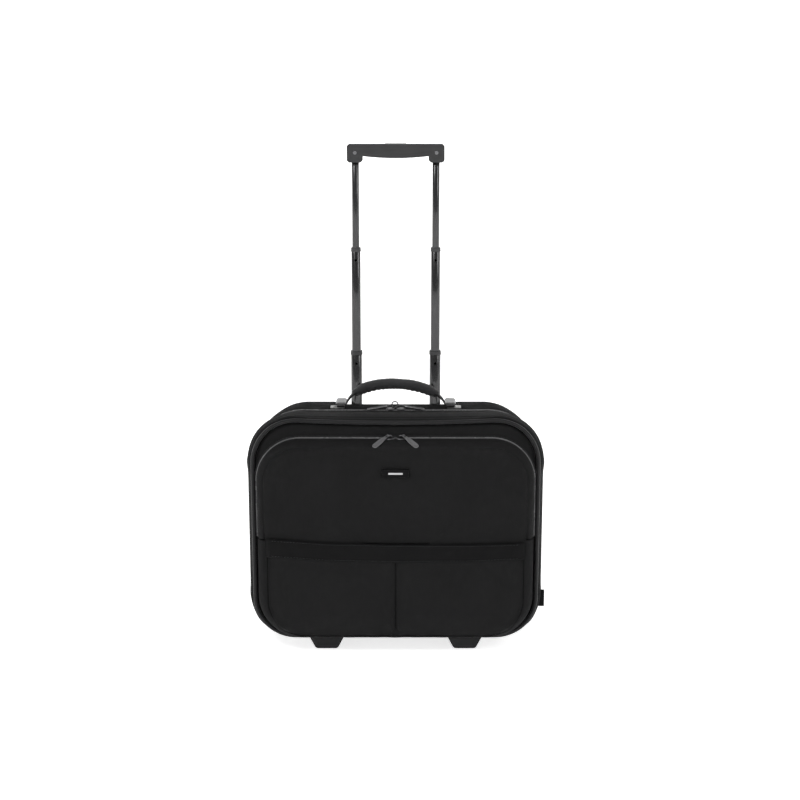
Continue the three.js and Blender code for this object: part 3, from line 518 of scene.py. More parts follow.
def tube_along(name, path, radius, body, material, closed=False, sides=10, squash=(1, 1), up=(0, 1, 0),
               replaces=()):
    """A tube of round or oval section along a path. squash scales it along up and across it."""
    rings = []
    n = len(path)
    for i in range(n):
        before = path[(i - 1) % n] if closed or i else path[i]
        after = path[(i + 1) % n] if closed or i < n - 1 else path[i]
        tangent = (Vector(after) - Vector(before)).normalized()
        side_way = tangent.cross(Vector(up)).normalized()
        up_way = side_way.cross(tangent).normalized()
        ring = []
        for k in range(sides):
            a = 2 * math.pi * k / sides
            offset = up_way * math.cos(a) * squash[0] + side_way * math.sin(a) * squash[1]
            ring.append(Vector(path[i]) + offset * radius)
        rings.append(ring)
    if closed:
        rings.append(rings[0])
    verts = [p for ring in (rings[:-1] if closed else rings) for p in ring]
    along = running(path, closed)
    around = 2 * math.pi * radius / sides
    faces = []
    uvs = []
    count = len(rings) - 1
    for j in range(count):
        for k in range(sides):
            m = (k + 1) % sides
            below = (j + 1) % n if closed else j + 1
            faces.append([j * sides + k, j * sides + m, below * sides + m, below * sides + k])
            uvs += [(along[j], k * around), (along[j], (k + 1) * around)]
            uvs += [(along[j + 1], (k + 1) * around), (along[j + 1], k * around)]
    if not closed:
        for cap in ([k for k in range(sides - 1, -1, -1)], [(n - 1) * sides + k for k in range(sides)]):
            faces.append(cap)
            uvs += [(0, 0)] * sides
    return piece(name, verts, faces, body, material, uvs, replaces)


def stitches(name, path, out, body, length=0.0032, gap=0.0014, radius=0.0003):
    """A row of thread stitches that lie on a path, lifted a little along the direction out."""
    lengths = running(path)
    total = lengths[-1]
    out = Vector(out).normalized()

    def at(distance):
        for i in range(len(path) - 1):
            if lengths[i + 1] >= distance:
                t = (distance - lengths[i]) / max(lengths[i + 1] - lengths[i], 1e-9)
                return Vector(path[i]).lerp(Vector(path[i + 1]), t)
        return Vector(path[-1])

    verts = []
    faces = []
    start = gap
    while start + length < total:
        a, b = at(start), at(start + length)
        along = (b - a).normalized()
        side_way = along.cross(out).normalized()
        rows = [(0.0, 0.35, 0.0), (0.25, 1.0, 0.8), (0.75, 1.0, 0.8), (1.0, 0.35, 0.0)]
        base = len(verts)
        for t, size, lift in rows:
            centre = a.lerp(b, t) + out * radius * lift
            for k in range(5):
                angle = 2 * math.pi * k / 5
                verts.append(centre + (side_way * math.cos(angle) + out * math.sin(angle)) * radius * size)
        for row in range(3):
            for k in range(5):
                m = (k + 1) % 5
                low = base + row * 5
                faces.append([low + k, low + m, low + 5 + m, low + 5 + k])
        faces.append([base + k for k in range(4, -1, -1)])
        faces.append([base + 15 + k for k in range(5)])
        start += length + gap
    return piece(name, verts, faces, body, THREAD)


def inflate(obj, pinned, pressure, grow, cap, frames=18, bending=0.4):
    """Runs a short cloth simulation on a skin whose pinned points stay put, and keeps the result.
    grow lets the cloth be a little larger than its frame, so that it puckers.
    cap limits how far a point moves."""
    rest = [v.co.copy() for v in obj.data.vertices]
    group = obj.vertex_groups.new(name="pinned")
    group.add(list(pinned), 1.0, "REPLACE")
    cloth = obj.modifiers.new("cloth", "CLOTH")
    s = cloth.settings
    s.quality = 6
    s.mass = 0.25
    s.tension_stiffness = 20
    s.compression_stiffness = 20
    s.shear_stiffness = 8
    s.bending_stiffness = bending
    s.tension_damping = 12
    s.compression_damping = 12
    s.shear_damping = 12
    s.air_damping = 3
    s.vertex_group_mass = "pinned"
    s.use_pressure = True
    s.uniform_pressure_force = pressure
    s.shrink_min = -grow
    s.effector_weights.gravity = 0
    cloth.collision_settings.use_collision = False
    cloth.collision_settings.use_self_collision = False
    cloth.point_cache.frame_start = 1
    cloth.point_cache.frame_end = frames
    scene = bpy.context.scene
    for f in range(1, frames + 1):
        scene.frame_set(f)
    settled = obj.evaluated_get(bpy.context.evaluated_depsgraph_get()).to_mesh()
    moved = [v.co.copy() for v in settled.vertices]
    obj.modifiers.remove(cloth)
    scene.frame_set(1)
    for v, a, b in zip(obj.data.vertices, rest, moved):
        step = b - a
        if step.length > cap:
            step *= cap / step.length
        v.co = a + step
    obj.data.update()
    return obj


def crumple(obj, amount, scale, seed, along=None, where=None):
    """Gentle fixed creases: moves each point along its normal, or a given direction, by a smooth noise."""
    normals = [v.normal.copy() for v in obj.data.vertices]
    for v, normal in zip(obj.data.vertices, normals):
        p = v.co
        value = noise.noise(Vector((p.x * scale[0], p.y * scale[1], p.z * scale[2])) + Vector((seed, 0, 0)))
        weight = where(p) if where else 1.0
        v.co = p + (Vector(along) if along else normal) * value * amount * weight
    obj.data.update()
    return obj


# ---------------------------------------------------------------- floor

SWEEP = [(0.6, 0), (1.5, 0), (2.5, 0), (2.9, 0.03), (3.2, 0.15), (3.36, 0.4), (3.4, 0.8), (3.4, 1.4)]
SWEEP_SIDES = 72
verts = [(0, 0, 0)]
for radius, height in SWEEP:
    for k in range(SWEEP_SIDES):
        a = 2 * math.pi * k / SWEEP_SIDES
        verts.append((radius * math.cos(a), radius * math.sin(a), height))
faces = [(0, 1 + k, 1 + (k + 1) % SWEEP_SIDES) for k in range(SWEEP_SIDES)]
for ring in range(len(SWEEP) - 1):
    first = 1 + ring * SWEEP_SIDES
    for k in range(SWEEP_SIDES):
        m = (k + 1) % SWEEP_SIDES
        faces.append((first + k, first + SWEEP_SIDES + k, first + SWEEP_SIDES + m, first + m))
sweep_mesh = bpy.data.meshes.new("studio_sweep")
sweep_mesh.from_pydata(verts, [], faces)
sweep_mesh.polygons.foreach_set("use_smooth", [True] * len(faces))
sweep_mesh.materials.append(floor_surface())
sweep = bpy.data.objects.new("studio_sweep", sweep_mesh)
sweep.location.z = -0.0002
bpy.context.scene.collection.objects.link(sweep)

# ---------------------------------------------------------------- front half of the body

SAG = 0.0060  # how far the front edge's top dips at its middle
SIDE_BULGE = [(-0.0785, 0.0006), (-0.070, 0.0028), (-0.056, 0.0052), (-0.028, 0.0060), (0.0, 0.0042),
              (0.018, 0.0012), (0.034, 0.0006), (0.055, 0.0010), (0.080, 0.0), (BACK_Y, -0.0030)]


def edge_dip(point):
    """The front edge's top line hangs a little between its round corners."""
    across = max(0.0, 1 - (point.x / (HALF - 0.03)) ** 2)
    high = min(1.0, max(0.0, (point.z - TOP + 0.05) / 0.05))
    return SAG * across * high


TOP_RADII = [(LID_Y, 0.073), (ZIP_Y, 0.072), (BACK_Y, 0.081)]
NOTCH_DEPTH = 0.0062  # the back's top edge is lower behind the pull handle


def notch(point):
    """How far the back's top edge is lowered at a point."""
    across = blended([(0.078, 1.0), (0.098, 0.0)], abs(point.x))
    back = blended([(0.088, 0.0), (0.097, 1.0)], point.y)
    high = blended([(TOP - 0.04, 0.0), (TOP - 0.006, 1.0)], point.z)
    return NOTCH_DEPTH * across * back * high


def shell_ring(inset, y, **counts):
    """The body's outline at a depth. The sides bulge, and the front half rises and dips at its front edge."""
    share = min(1.0, max(0.0, (ZIP_Y - y) / (ZIP_Y - LID_Y)))
    high = TOP + (LID_TOP - TOP) * share
    bulge = blended(SIDE_BULGE, y)
    ring = []
    for p in outline(inset, y, high=high, top_radius=blended(TOP_RADII, y), **counts):
        out = math.copysign(bulge * (abs(p.x) / HALF) ** 3, p.x)
        ring.append(Vector((p.x + out, y, p.z - edge_dip(p) * share ** 2 - notch(p))))
    return ring


GUSSET_FRONT = [
    (-0.0785, 0.0078),
    (-0.0760, 0.0050),
    (-0.0725, 0.0022),
    (-0.0660, 0.0003),
    (-0.0550, -0.0010),
    (-0.0300, -0.0016),
    (-0.0050, -0.0012),
    (0.0120, -0.0002),
    (0.0200, 0.0010),
    (ZIP_Y - 0.0045, 0.0020),
]


def gusset_rings(keys, steps):
    y0, y1 = keys[0][0], keys[-1][0]
    ys = [y0 + (y1 - y0) * i / steps for i in range(steps + 1)]
    return [(y, blended(keys, y)) for y in ys]


TUCK_Y = -0.060  # a seam runs round the front half's wall here


def lid_gusset():
    rings = []
    for y, inset in gusset_rings(GUSSET_FRONT, 26):
        tuck = 0.0012 * math.exp(-(((y - TUCK_Y) / 0.0022) ** 2))
        rings.append(shell_ring(inset + tuck, y))
    rings.append(shell_ring(0.0032, ZIP_Y - 0.0034))
    rings.append(shell_ring(0.0046, ZIP_Y - 0.0030))
    obj = loft("lid_gusset_cloth", rings, "front_section", NYLON_GUSSET, replaces=("lid_gusset",))
    n = len(rings[0])
    pins = list(range(2 * n)) + list(range((len(rings) - 5) * n, len(rings) * n))
    inflate(obj, pins, 1.2, 0.006, 0.0022)
    return subdivide(obj)


lid_gusset()

front_line = shell_ring(0.0062, LID_Y - 0.0008, corner=20)
tube_along("front_cord", front_line, 0.0030, "front_section", CORD, closed=True, sides=12,
           replaces=("front_piping",))

FACE_KEYS = [(0.0, 0.0060), (0.0012, 0.0030), (0.004, 0.0008), (0.012, -0.0010), (0.03, -0.0022),
             (0.1, -0.0030), (0.5, -0.0030)]
# A thin near-black tube in the groove inside the front cord: painted shade for the groove's shadow.
groove_shade_line = shell_ring(0.0098, LID_Y + 0.0012, corner=20)
tube_along("front_groove_shade", groove_shade_line, 0.0012, "front_section", SEAM_SHADE, closed=True, sides=8)


def lid_panel():
    rings = []
    for inset in (0.0104, 0.011, 0.0116, 0.013, 0.016, 0.020, 0.026, 0.034, 0.045, 0.062):
        y = LID_Y + blended(FACE_KEYS, inset - 0.0104)
        rings.append([Vector((p.x, y, p.z)) for p in shell_ring(inset, LID_Y)])
    return loft("lid_panel_cloth", rings, "front_section", NYLON, flat_uv=True, caps="last",
                flip=True, replaces=("lid_front_panel",))


subdivide(lid_panel())


def lining(name, y_open, y_wall, body):
    """The inner skin of one half: round the walls and across the closed face."""
    step = 1 if y_wall > y_open else -1
    inner = 0.0046
    ys = [y_open, y_open + step * 0.02, (y_open + y_wall) / 2, y_wall - step * 0.006]
    rings = [shell_ring(inner, y) for y in ys]
    rings += [shell_ring(inner + 0.0015, y_wall - step * 0.0015), shell_ring(inner + 0.006, y_wall)]
    rings += [shell_ring(i, y_wall) for i in (0.02, 0.04, 0.062)]
    obj = loft(name, rings, body, LINING, caps="last", flip=step > 0)
    crumple(obj, 0.0012, (30, 30, 30), 4.0, where=lambda p: 1.0 if abs(p.y - y_open) > 0.006 else 0.0)
    return obj


subdivide(lining("front_lining", ZIP_Y - 0.0030, LID_Y + 0.0045, "front_section"))

# ---------------------------------------------------------------- rear half of the body

GUSSET_REAR = [
    (ZIP_Y + 0.0045, 0.0020),
    (0.0350, 0.0008),
    (0.0440, -0.0006),
    (0.0600, -0.0012),
    (0.0800, -0.0008),
    (0.0920, 0.0005),
    (0.0980, 0.0025),
    (BACK_Y, 0.0060),
]
WELL_LOW, WELL_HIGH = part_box("wheel_housing_right")
BEZEL_LOW, BEZEL_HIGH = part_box("trolley_bezel")


BEZEL_ROOM = ((BEZEL_LOW[0] - 0.0012, BEZEL_LOW[1] - 0.0006, 0.3),
              (BEZEL_HIGH[0] + 0.0012, BEZEL_HIGH[1] + 0.0006, 0.4))
WELL_GAP = 0.0008
WELL_ROOMS = []
for inner, outer in ((WELL_LOW[0], WELL_HIGH[0]), (-WELL_HIGH[0], -WELL_LOW[0])):
    WELL_ROOMS.append(((inner - WELL_GAP, WELL_LOW[1] - WELL_GAP, 0.0),
                       (outer + WELL_GAP, WELL_HIGH[1] + 0.02, WELL_HIGH[2] + WELL_GAP)))


def cut_box(obj, low, high):
    """Cuts a clean hole where a box meets a skin. The hole's edge stays sharp when the skin is smoothed."""
    mesh = bmesh.new()
    mesh.from_mesh(obj.data)
    for axis in range(3):
        for at in (low[axis], high[axis]):
            near = []
            for face in mesh.faces:
                ends = [sorted(v.co[k] for v in face.verts) for k in range(3)]
                if all(ends[k][-1] > low[k] - 0.0001 and ends[k][0] < high[k] + 0.0001 for k in range(3)):
                    near.append(face)
            edges = {e for f in near for e in f.edges}
            verts = {v for f in near for v in f.verts}
            point = [0, 0, 0]
            point[axis] = at
            normal = [0, 0, 0]
            normal[axis] = 1
            bmesh.ops.bisect_plane(mesh, geom=list(verts) + list(edges) + near, dist=1e-6, plane_co=point,
                                   plane_no=normal)
    inside = [f for f in mesh.faces if all(low[k] < f.calc_center_median()[k] < high[k] for k in range(3))]
    bmesh.ops.delete(mesh, geom=inside, context="FACES")
    crease = mesh.edges.layers.float.get("crease_edge") or mesh.edges.layers.float.new("crease_edge")
    for edge in mesh.edges:
        if edge.is_boundary:
            edge[crease] = 1.0
    mesh.to_mesh(obj.data)
    mesh.free()
    return obj


def rear_gusset():
    rings = [shell_ring(0.0046, ZIP_Y + 0.0030), shell_ring(0.0032, ZIP_Y + 0.0034)]
    rings += [shell_ring(inset, y) for y, inset in gusset_rings(GUSSET_REAR, 16)]
    obj = loft("rear_gusset_cloth", rings, "case_body", NYLON_GUSSET, replaces=("rear_gusset",))
    n = len(rings[0])
    pins = set(range(5 * n)) | set(range((len(rings) - 2) * n, len(rings) * n))
    for v in obj.data.vertices:
        near_bezel = abs(v.co.x) < BEZEL_HIGH[0] + 0.012 and v.co.z > 0.3 and v.co.y > BEZEL_LOW[1] - 0.012
        near_wheel = v.co.z < 0.075 and abs(v.co.x) > 0.13
        if near_bezel or near_wheel:
            pins.add(v.index)
    inflate(obj, sorted(pins), 1.0, 0.005, 0.0035)
    for low, high in (BEZEL_ROOM, *WELL_ROOMS):
        cut_box(obj, low, high)
    return subdivide(obj)


rear_gusset()

BACK_KEYS = [(0.0, -0.0025), (0.004, -0.0008), (0.014, 0.0006), (0.04, 0.0012), (0.5, 0.0012)]


def back_panel():
    rings = []
    for inset in (0.0085, 0.0095, 0.011, 0.014, 0.018, 0.024, 0.032, 0.042, 0.052, 0.062):
        y = BACK_Y + blended(BACK_KEYS, inset - 0.0085)
        rings.append([Vector((p.x, y, p.z)) for p in shell_ring(inset, BACK_Y)])
    return loft("back_panel_cloth", rings, "case_body", NYLON, flat_uv=True, caps="last",
                replaces=("back_panel",))


back = back_panel()
for room in WELL_ROOMS:
    cut_box(back, *room)
subdivide(back)
PIPING_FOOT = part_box("back_piping")[0][2]
back_line = []
for p in arch(0.0058, BACK_Y + 0.0004, HALF, PIPING_FOOT, TOP, TOP_RADII[-1][1], 60, 20):
    drawn_in = math.copysign(0.003 * (abs(p.x) / HALF) ** 3, p.x)
    back_line.append(Vector((p.x - drawn_in, p.y, p.z - notch(p))))
tube_along("back_cord", back_line, 0.0029, "case_body", CORD, sides=12, replaces=("back_piping",))
rear_lining = lining("rear_lining", ZIP_Y + 0.0030, BACK_Y - 0.0045, "case_body")
for room in (BEZEL_ROOM, *WELL_ROOMS):
    cut_box(rear_lining, *room)
subdivide(rear_lining)

# ---------------------------------------------------------------- main zip


def zip_arch(inset, y):
    return arch(inset, y, HALF, ZIP_BOTTOM, TOP, TOP_RADII[1][1], flat=60, corner=24, side=60)


def zip_half(name, away, body, node):
    """One tape of the main zip and its row of coil, from low on one side over to the other."""
    ys = [ZIP_Y + away * d for d in (0.0052, 0.0040, 0.0026, 0.0014)]
    insets = [0.0012, 0.0008, 0.0007, 0.0013]
    rings = [zip_arch(i, y) for i, y in zip(insets, ys)]
    tape = loft(f"{name}_tape", rings, body, TAPE, closed=False, flip=away > 0, replaces=(node,))
    solidify(tape, 0.0008, 1 if away > 0 else -1)
    coil_line = zip_arch(0.0004, ZIP_Y + away * 0.0011)
    tube_along(f"{name}_coil", coil_line, 0.0010, body, COIL_PAINTED_HIGHLIGHT, sides=8, squash=(1, 1.2))


zip_half("main_zip_front", -1, "front_section", "main_zip_front")
zip_half("main_zip_rear", 1, "case_body", "main_zip_rear")
for away, body in ((-1, "front_section"), (1, "case_body")):
    stitches(f"main_zip_stitches_{body}", zip_arch(0.0002, ZIP_Y + away * 0.0046), (0, 0, 1), body)

# ---------------------------------------------------------------- front pocket: zip and flap

POCKET_HALF = FLAP_HIGH[0]
POCKET_TOP = FLAP_HIGH[2]
FOLD = FLAP_LOW[2]
FLAP_FACE = FLAP_LOW[1]
FLAP_BASE = FLAP_HIGH[1]
POCKET_CORNER = 0.062


def flap_arch(inset, y, foot=FOLD):
    return arch(inset, y, POCKET_HALF, foot, POCKET_TOP, POCKET_CORNER, flat=44, corner=16, side=20)


OVERHANG = 0.008  # the face hangs this far below the fold, behind the slip pockets' mouth

# (inset from the pocket's outline, y) from the zip round the rolled edge and over the face
FLAP_PROFILE = [
    (0.0000, FLAP_BASE),
    (-0.0004, FLAP_BASE - 0.0020),
    (-0.0002, FLAP_BASE - 0.0045),
    (0.0009, FLAP_BASE - 0.0075),
    (0.0026, FLAP_BASE - 0.0105),
    (0.0048, FLAP_BASE - 0.0130),
    (0.0070, FLAP_BASE - 0.0146),
    (0.0082, FLAP_BASE - 0.0140),
    (0.0096, FLAP_BASE - 0.0138),
    (0.0108, FLAP_BASE - 0.0152),
    (0.0140, FLAP_FACE - 0.0010),
    (0.0190, FLAP_FACE - 0.0018),
    (0.0260, FLAP_FACE - 0.0024),
    (0.0350, FLAP_FACE - 0.0029),
    (0.0460, FLAP_FACE - 0.0033),
    (0.0580, FLAP_FACE - 0.0036),
    (0.0700, FLAP_FACE - 0.0038),
    (0.0830, FLAP_FACE - 0.0039),
]
LAST_INSET = POCKET_TOP - FOLD + OVERHANG - 0.0004
FLAP_PROFILE += [(inset, FLAP_FACE - 0.0040) for inset in (0.0960, 0.1090, 0.1220, 0.1350, LAST_INSET)]


def flap():
    rings = []
    for inset, y in FLAP_PROFILE:
        ring = flap_arch(inset, y, FOLD - OVERHANG * min(1.0, max(0.0, (inset - 0.0096) / 0.006)))
        for p in ring:
            near_fold = min(1.0, max(0.0, 1 - (p.z - FOLD) / 0.03))
            if inset > 0.009:
                p.y += 0.0022 * near_fold ** 2
        rings.append(ring)
    obj = loft("pocket_flap_cloth", rings, None, NYLON, closed=False, flat_uv=True,
               replaces=("pocket_flap",))
    n = len(rings[0])
    pins = set(range(2 * n)) | set(range(7 * n, 9 * n))
    for v in obj.data.vertices:
        if v.co.z < FOLD + 0.002:
            pins.add(v.index)
    inflate(obj, sorted(pins), 1.0, 0.004, 0.0035)
    crumple(obj, 0.0010, (16, 0, 11), 2.0, (0, -1, 0), lambda p: min(1.0, max(0.0, (p.z - FOLD) / 0.02)))
    return subdivide(solidify(obj, 0.0016))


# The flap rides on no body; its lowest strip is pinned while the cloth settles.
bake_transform(flap())



def pocket_arch(inset, y, flat=60, corner=24, side=40):
    return arch(inset, y, POCKET_HALF, FOLD, POCKET_TOP, POCKET_CORNER, flat=flat, corner=corner, side=side)


zip_line = pocket_arch(-0.0012, FLAP_BASE + 0.0008, 120, 48, 90)
tube_along("pocket_zip_coil", zip_line, 0.0020, "front_section", COIL_PAINTED_HIGHLIGHT, sides=10,
           replaces=("pocket_zip",))
outer_line = pocket_arch(-0.0036, LID_Y - 0.0014)
tape_rings = [pocket_arch(-0.0052, LID_Y - 0.0012), outer_line, pocket_arch(-0.0016, LID_Y - 0.0024)]
solidify(loft("pocket_zip_tape", tape_rings, "front_section", TAPE, closed=False), 0.0008)
tape_seam = [p + Vector((0, -0.0006, 0)) for p in outer_line]
stitches("pocket_zip_stitches", tape_seam, (0, -1, 0), "front_section")
# A near-black line where the rolled edge meets the flap's face: painted shade along the seam.
seam_line = flap_arch(0.0089, FLAP_BASE - 0.0142)
tube_along("flap_edge_seam_shade", seam_line, 0.0009, "pocket_flap", SEAM_SHADE, sides=6)

# ---------------------------------------------------------------- front pocket: lower part and slip pockets

LOWER_BOTTOM = LOWER_LOW[2]
LOWER_TOP = LOWER_HIGH[2]
POCKET_FACE_Y = LID_Y - 0.0188
LOWER_PROFILE = [
    (0.0000, LID_Y - 0.0006),
    (-0.0006, LID_Y - 0.0040),
    (0.0002, LID_Y - 0.0080),
    (0.0022, LID_Y - 0.0120),
    (0.0050, LID_Y - 0.0155),
    (0.0080, LID_Y - 0.0176),
    (0.0120, LID_Y - 0.0186),
]
LOWER_PROFILE += [(inset, POCKET_FACE_Y) for inset in (0.0200, 0.0400, 0.0700, 0.1100, 0.1440)]


def lower_pocket():
    rings = []
    for inset, y in LOWER_PROFILE:
        rings.append(arch(inset, y, POCKET_HALF, LOWER_TOP, LOWER_BOTTOM, 0.064, flat=44, corner=14, side=18))
    obj = loft("pocket_lower_cloth", rings, "front_section", NYLON_GUSSET, closed=False,
               flat_uv=True, flip=True, replaces=("pocket_lower",))
    n = len(rings[0])
    pins = set(range(n)) | set(range(5 * n, len(rings) * n))
    for v in obj.data.vertices:
        if v.co.z > LOWER_TOP - 0.001:
            pins.add(v.index)
    inflate(obj, sorted(pins), 0.8, 0.006, 0.003)
    return subdivide(solidify(obj, 0.0016))


lower_pocket()

SLIP_HALF = 0.1885
SLIP_TOP = SLIP_HIGH[2]
SLIP_BOTTOM = SLIP_LOW[2]
SLIP_CORNER = 0.055
# The hem hangs unevenly: (share of the half width, height added to the hem's own box) along its two edges.
HEM_TOP_LINE = [(-1, 0.0040), (-0.4, -0.0018), (0, -0.0034), (0.5, -0.0036), (1, -0.0020)]
HEM_LOW_LINE = [(-1, -0.0015), (-0.4, -0.0074), (0, -0.0090), (0.5, -0.0082), (1, -0.0048)]


def hem_top(x):
    return HEM_HIGH[2] + blended(HEM_TOP_LINE, x / SLIP_HALF)


def hem_low(x):
    return HEM_LOW[2] + blended(HEM_LOW_LINE, x / SLIP_HALF)


def hem_y(x):
    """The front of the cloth under the hem: full in the middle, close to the case at its sewn ends."""
    from_end = min(1.0, max(0.0, (SLIP_HALF + 0.001 - abs(x)) / 0.022))
    return POCKET_FACE_Y - 0.0030 - 0.0036 * from_end ** 0.7


def slip_y(x, z):
    """How far forward the slip pockets' sheet stands: flat at its sewn edges, full near its middle."""
    side_in = (SLIP_HALF - abs(x)) / 0.022
    low_in = (z - SLIP_BOTTOM) / 0.020
    edge = min(1.0, max(0.0, min(side_in, low_in)))
    edge = edge * edge * (3 - 2 * edge)
    seam = math.exp(-((x / 0.0045) ** 2))
    closing = max(0.0, min(1.0, (SLIP_TOP - z) / 0.02))
    return POCKET_FACE_Y - 0.0008 - edge * 0.0052 + seam * 0.0030 * closing


def slip_freedom(p):
    """How freely the slip sheet creases: not at all under the hem and at the sides."""
    if abs(p.x) >= SLIP_HALF - 0.01:
        return 0.0
    return min(1.0, max(0.0, (hem_low(p.x) - 0.006 - p.z) / 0.02))


def slip_sheet():
    """The sheet on a grid of columns, closer together by the middle seam. Its lower corners are rounded."""
    xs = [0.0, 0.0012, 0.0025, 0.0045, 0.007, 0.011]
    while xs[-1] < SLIP_HALF - 0.005:
        xs.append(xs[-1] + 0.0055)
    xs.append(SLIP_HALF)
    xs = [-x for x in reversed(xs[1:])] + xs
    rows = 30
    grid = []
    for j in range(rows + 1):
        t = j / rows
        row = []
        for x in xs:
            over = max(0.0, abs(x) - (SLIP_HALF - SLIP_CORNER))
            low = SLIP_BOTTOM + SLIP_CORNER - math.sqrt(max(0.0, SLIP_CORNER ** 2 - over ** 2))
            z = low + (hem_top(x) - 0.0010 - low) * t
            row.append(Vector((x, slip_y(x, max(z, SLIP_BOTTOM)), z)))
        grid.append(row)
    obj = loft("slip_pocket_cloth", grid, "front_section", NYLON, closed=False, flat_uv=True,
               replaces=("slip_panel",))
    n = len(xs)
    pins = set(range(n)) | set(range(rows * n, rows * n + n))
    for v in obj.data.vertices:
        if abs(v.co.x) < 0.0015 or abs(v.co.x) > SLIP_HALF - 0.004 or v.co.z > hem_low(v.co.x) - 0.004:
            pins.add(v.index)
    inflate(obj, sorted(pins), 0.7, 0.004, 0.0022)
    crumple(obj, 0.0007, (20, 0, 9), 7.0, (0, -1, 0), slip_freedom)
    return solidify(obj, 0.0012)


slip_sheet()


def hem():
    """The webbing along the pockets' mouth."""
    columns = 64
    rows = [(0.0, 0.0002), (0.03, 0.0011), (0.1, 0.0013), (0.5, 0.0014), (0.9, 0.0013), (0.97, 0.0011),
            (1.0, 0.0002)]
    xs = [(SLIP_HALF + 0.001) * (2 * i / columns - 1) for i in range(columns + 1)]
    rings = []
    for t, out in rows:
        rings.append([Vector((x, hem_y(x) - out, hem_low(x) + (hem_top(x) - hem_low(x)) * t)) for x in xs])
    obj = loft("hem_webbing", rings, "front_section", WEBBING, closed=False,
               replaces=("hem_band",))
    solidify(obj, 0.0012)
    for t, name in ((0.09, "lower"), (0.91, "upper")):
        line = [Vector((x, hem_y(x) - 0.0015, hem_low(x) + (hem_top(x) - hem_low(x)) * t)) for x in xs[1:-1]]
        stitches(f"hem_stitches_{name}", line, (0, -1, 0), "front_section")


hem()

# Near-black lines round the slip sheet's edge and down its middle: painted shade along the seams.
edge_seam = arch(-0.0004, POCKET_FACE_Y - 0.0014, SLIP_HALF, HEM_LOW[2], SLIP_BOTTOM, SLIP_CORNER)
tube_along("slip_edge_seam_shade", edge_seam, 0.0007, "front_section", SEAM_SHADE, sides=6)
seam = [Vector((0, slip_y(0, z) - 0.0002, z)) for z in [SLIP_BOTTOM + 0.012 + 0.004 * i for i in range(29)]]
tube_along("slip_middle_seam_shade", seam, 0.0008, "front_section", SEAM_SHADE, sides=6, up=(1, 0, 0))

# ---------------------------------------------------------------- badge and side tag


def rounded_slab(name, size, radius, crown, place, turn, body, material, replaces=(), steps=5):
    """A thin plate with rounded corners and a crowned face, lying in X and Y before it is placed."""
    hx, hy, thick = size[0] / 2, size[1] / 2, size[2]
    rings = []
    for inset, z in ((0.0, 0.0), (0.0, thick * 0.6), (thick * 0.35, thick), (thick * 1.5, thick + crown)):
        ring = []
        r = max(radius - inset, 0.0002)
        for cx, cy, start in ((1, -1, -90), (1, 1, 0), (-1, 1, 90), (-1, -1, 180)):
            for i in range(steps + 1):
                a = math.radians(start + 90 * i / steps)
                x = cx * (hx - inset - r) + r * math.cos(a)
                y = cy * (hy - inset - r) + r * math.sin(a)
                ring.append(Vector((x, y, z)))
        rings.append([turn @ p + Vector(place) for p in ring])
    return loft(name, rings, body, material, caps=True, replaces=replaces)


FACE_FRONT = Matrix(((1, 0, 0), (0, 0, -1), (0, 1, 0)))  # a plate's face turned to the front
badge = middle("badge")
plate_place = (badge.x, FLAP_FACE - 0.0036, badge.z)
rounded_slab("badge_plate", (0.041, 0.0135, 0.0011), 0.0014, 0.0001, plate_place, FACE_FRONT, "pocket_flap",
             LABEL, ("badge",))
bar_place = (badge.x, FLAP_FACE - 0.0047, badge.z)
rounded_slab("badge_bar", (0.021, 0.0026, 0.0003), 0.0005, 0.00002, bar_place, FACE_FRONT, "pocket_flap",
             LABEL_BAR)
corners = [(-1, -1), (1, -1), (1, 1), (-1, 1), (-1, -1)]
badge_seam = [Vector((0.0188 * x, FLAP_FACE - 0.0049, badge.z + 0.0051 * z)) for x, z in corners]
stitches("badge_stitches", badge_seam, (0, -1, 0), "pocket_flap", 0.0016, 0.0011, 0.00016)

TAG_LOW, TAG_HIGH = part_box("side_tag")


def tag():
    """A folded woven tag: two layers that meet in a round fold at its outer end."""
    ym = (TAG_LOW[1] + TAG_HIGH[1]) / 2
    rows = []
    columns = 12
    for z in [TAG_LOW[2] + (TAG_HIGH[2] - TAG_LOW[2]) * k / 8 for k in range(9)]:
        row = []
        for i in range(columns * 2 + 1):
            t = i / columns - 1
            x = TAG_HIGH[0] - abs(t) * (TAG_HIGH[0] - TAG_LOW[0])
            open_by = 0.0007 * math.sqrt(max(0.0, 1 - max(0.0, 1 - abs(t) * 6) ** 2))
            row.append(Vector((x, ym + math.copysign(open_by, t) + 0.0004 * math.sin(z * 180), z)))
        rows.append(row)
    obj = loft("side_tag_cloth", rows, "front_section", LABEL, closed=False, replaces=("side_tag",))
    return solidify(obj, 0.0003)


tag()

# ---------------------------------------------------------------- zip sliders and pull tabs


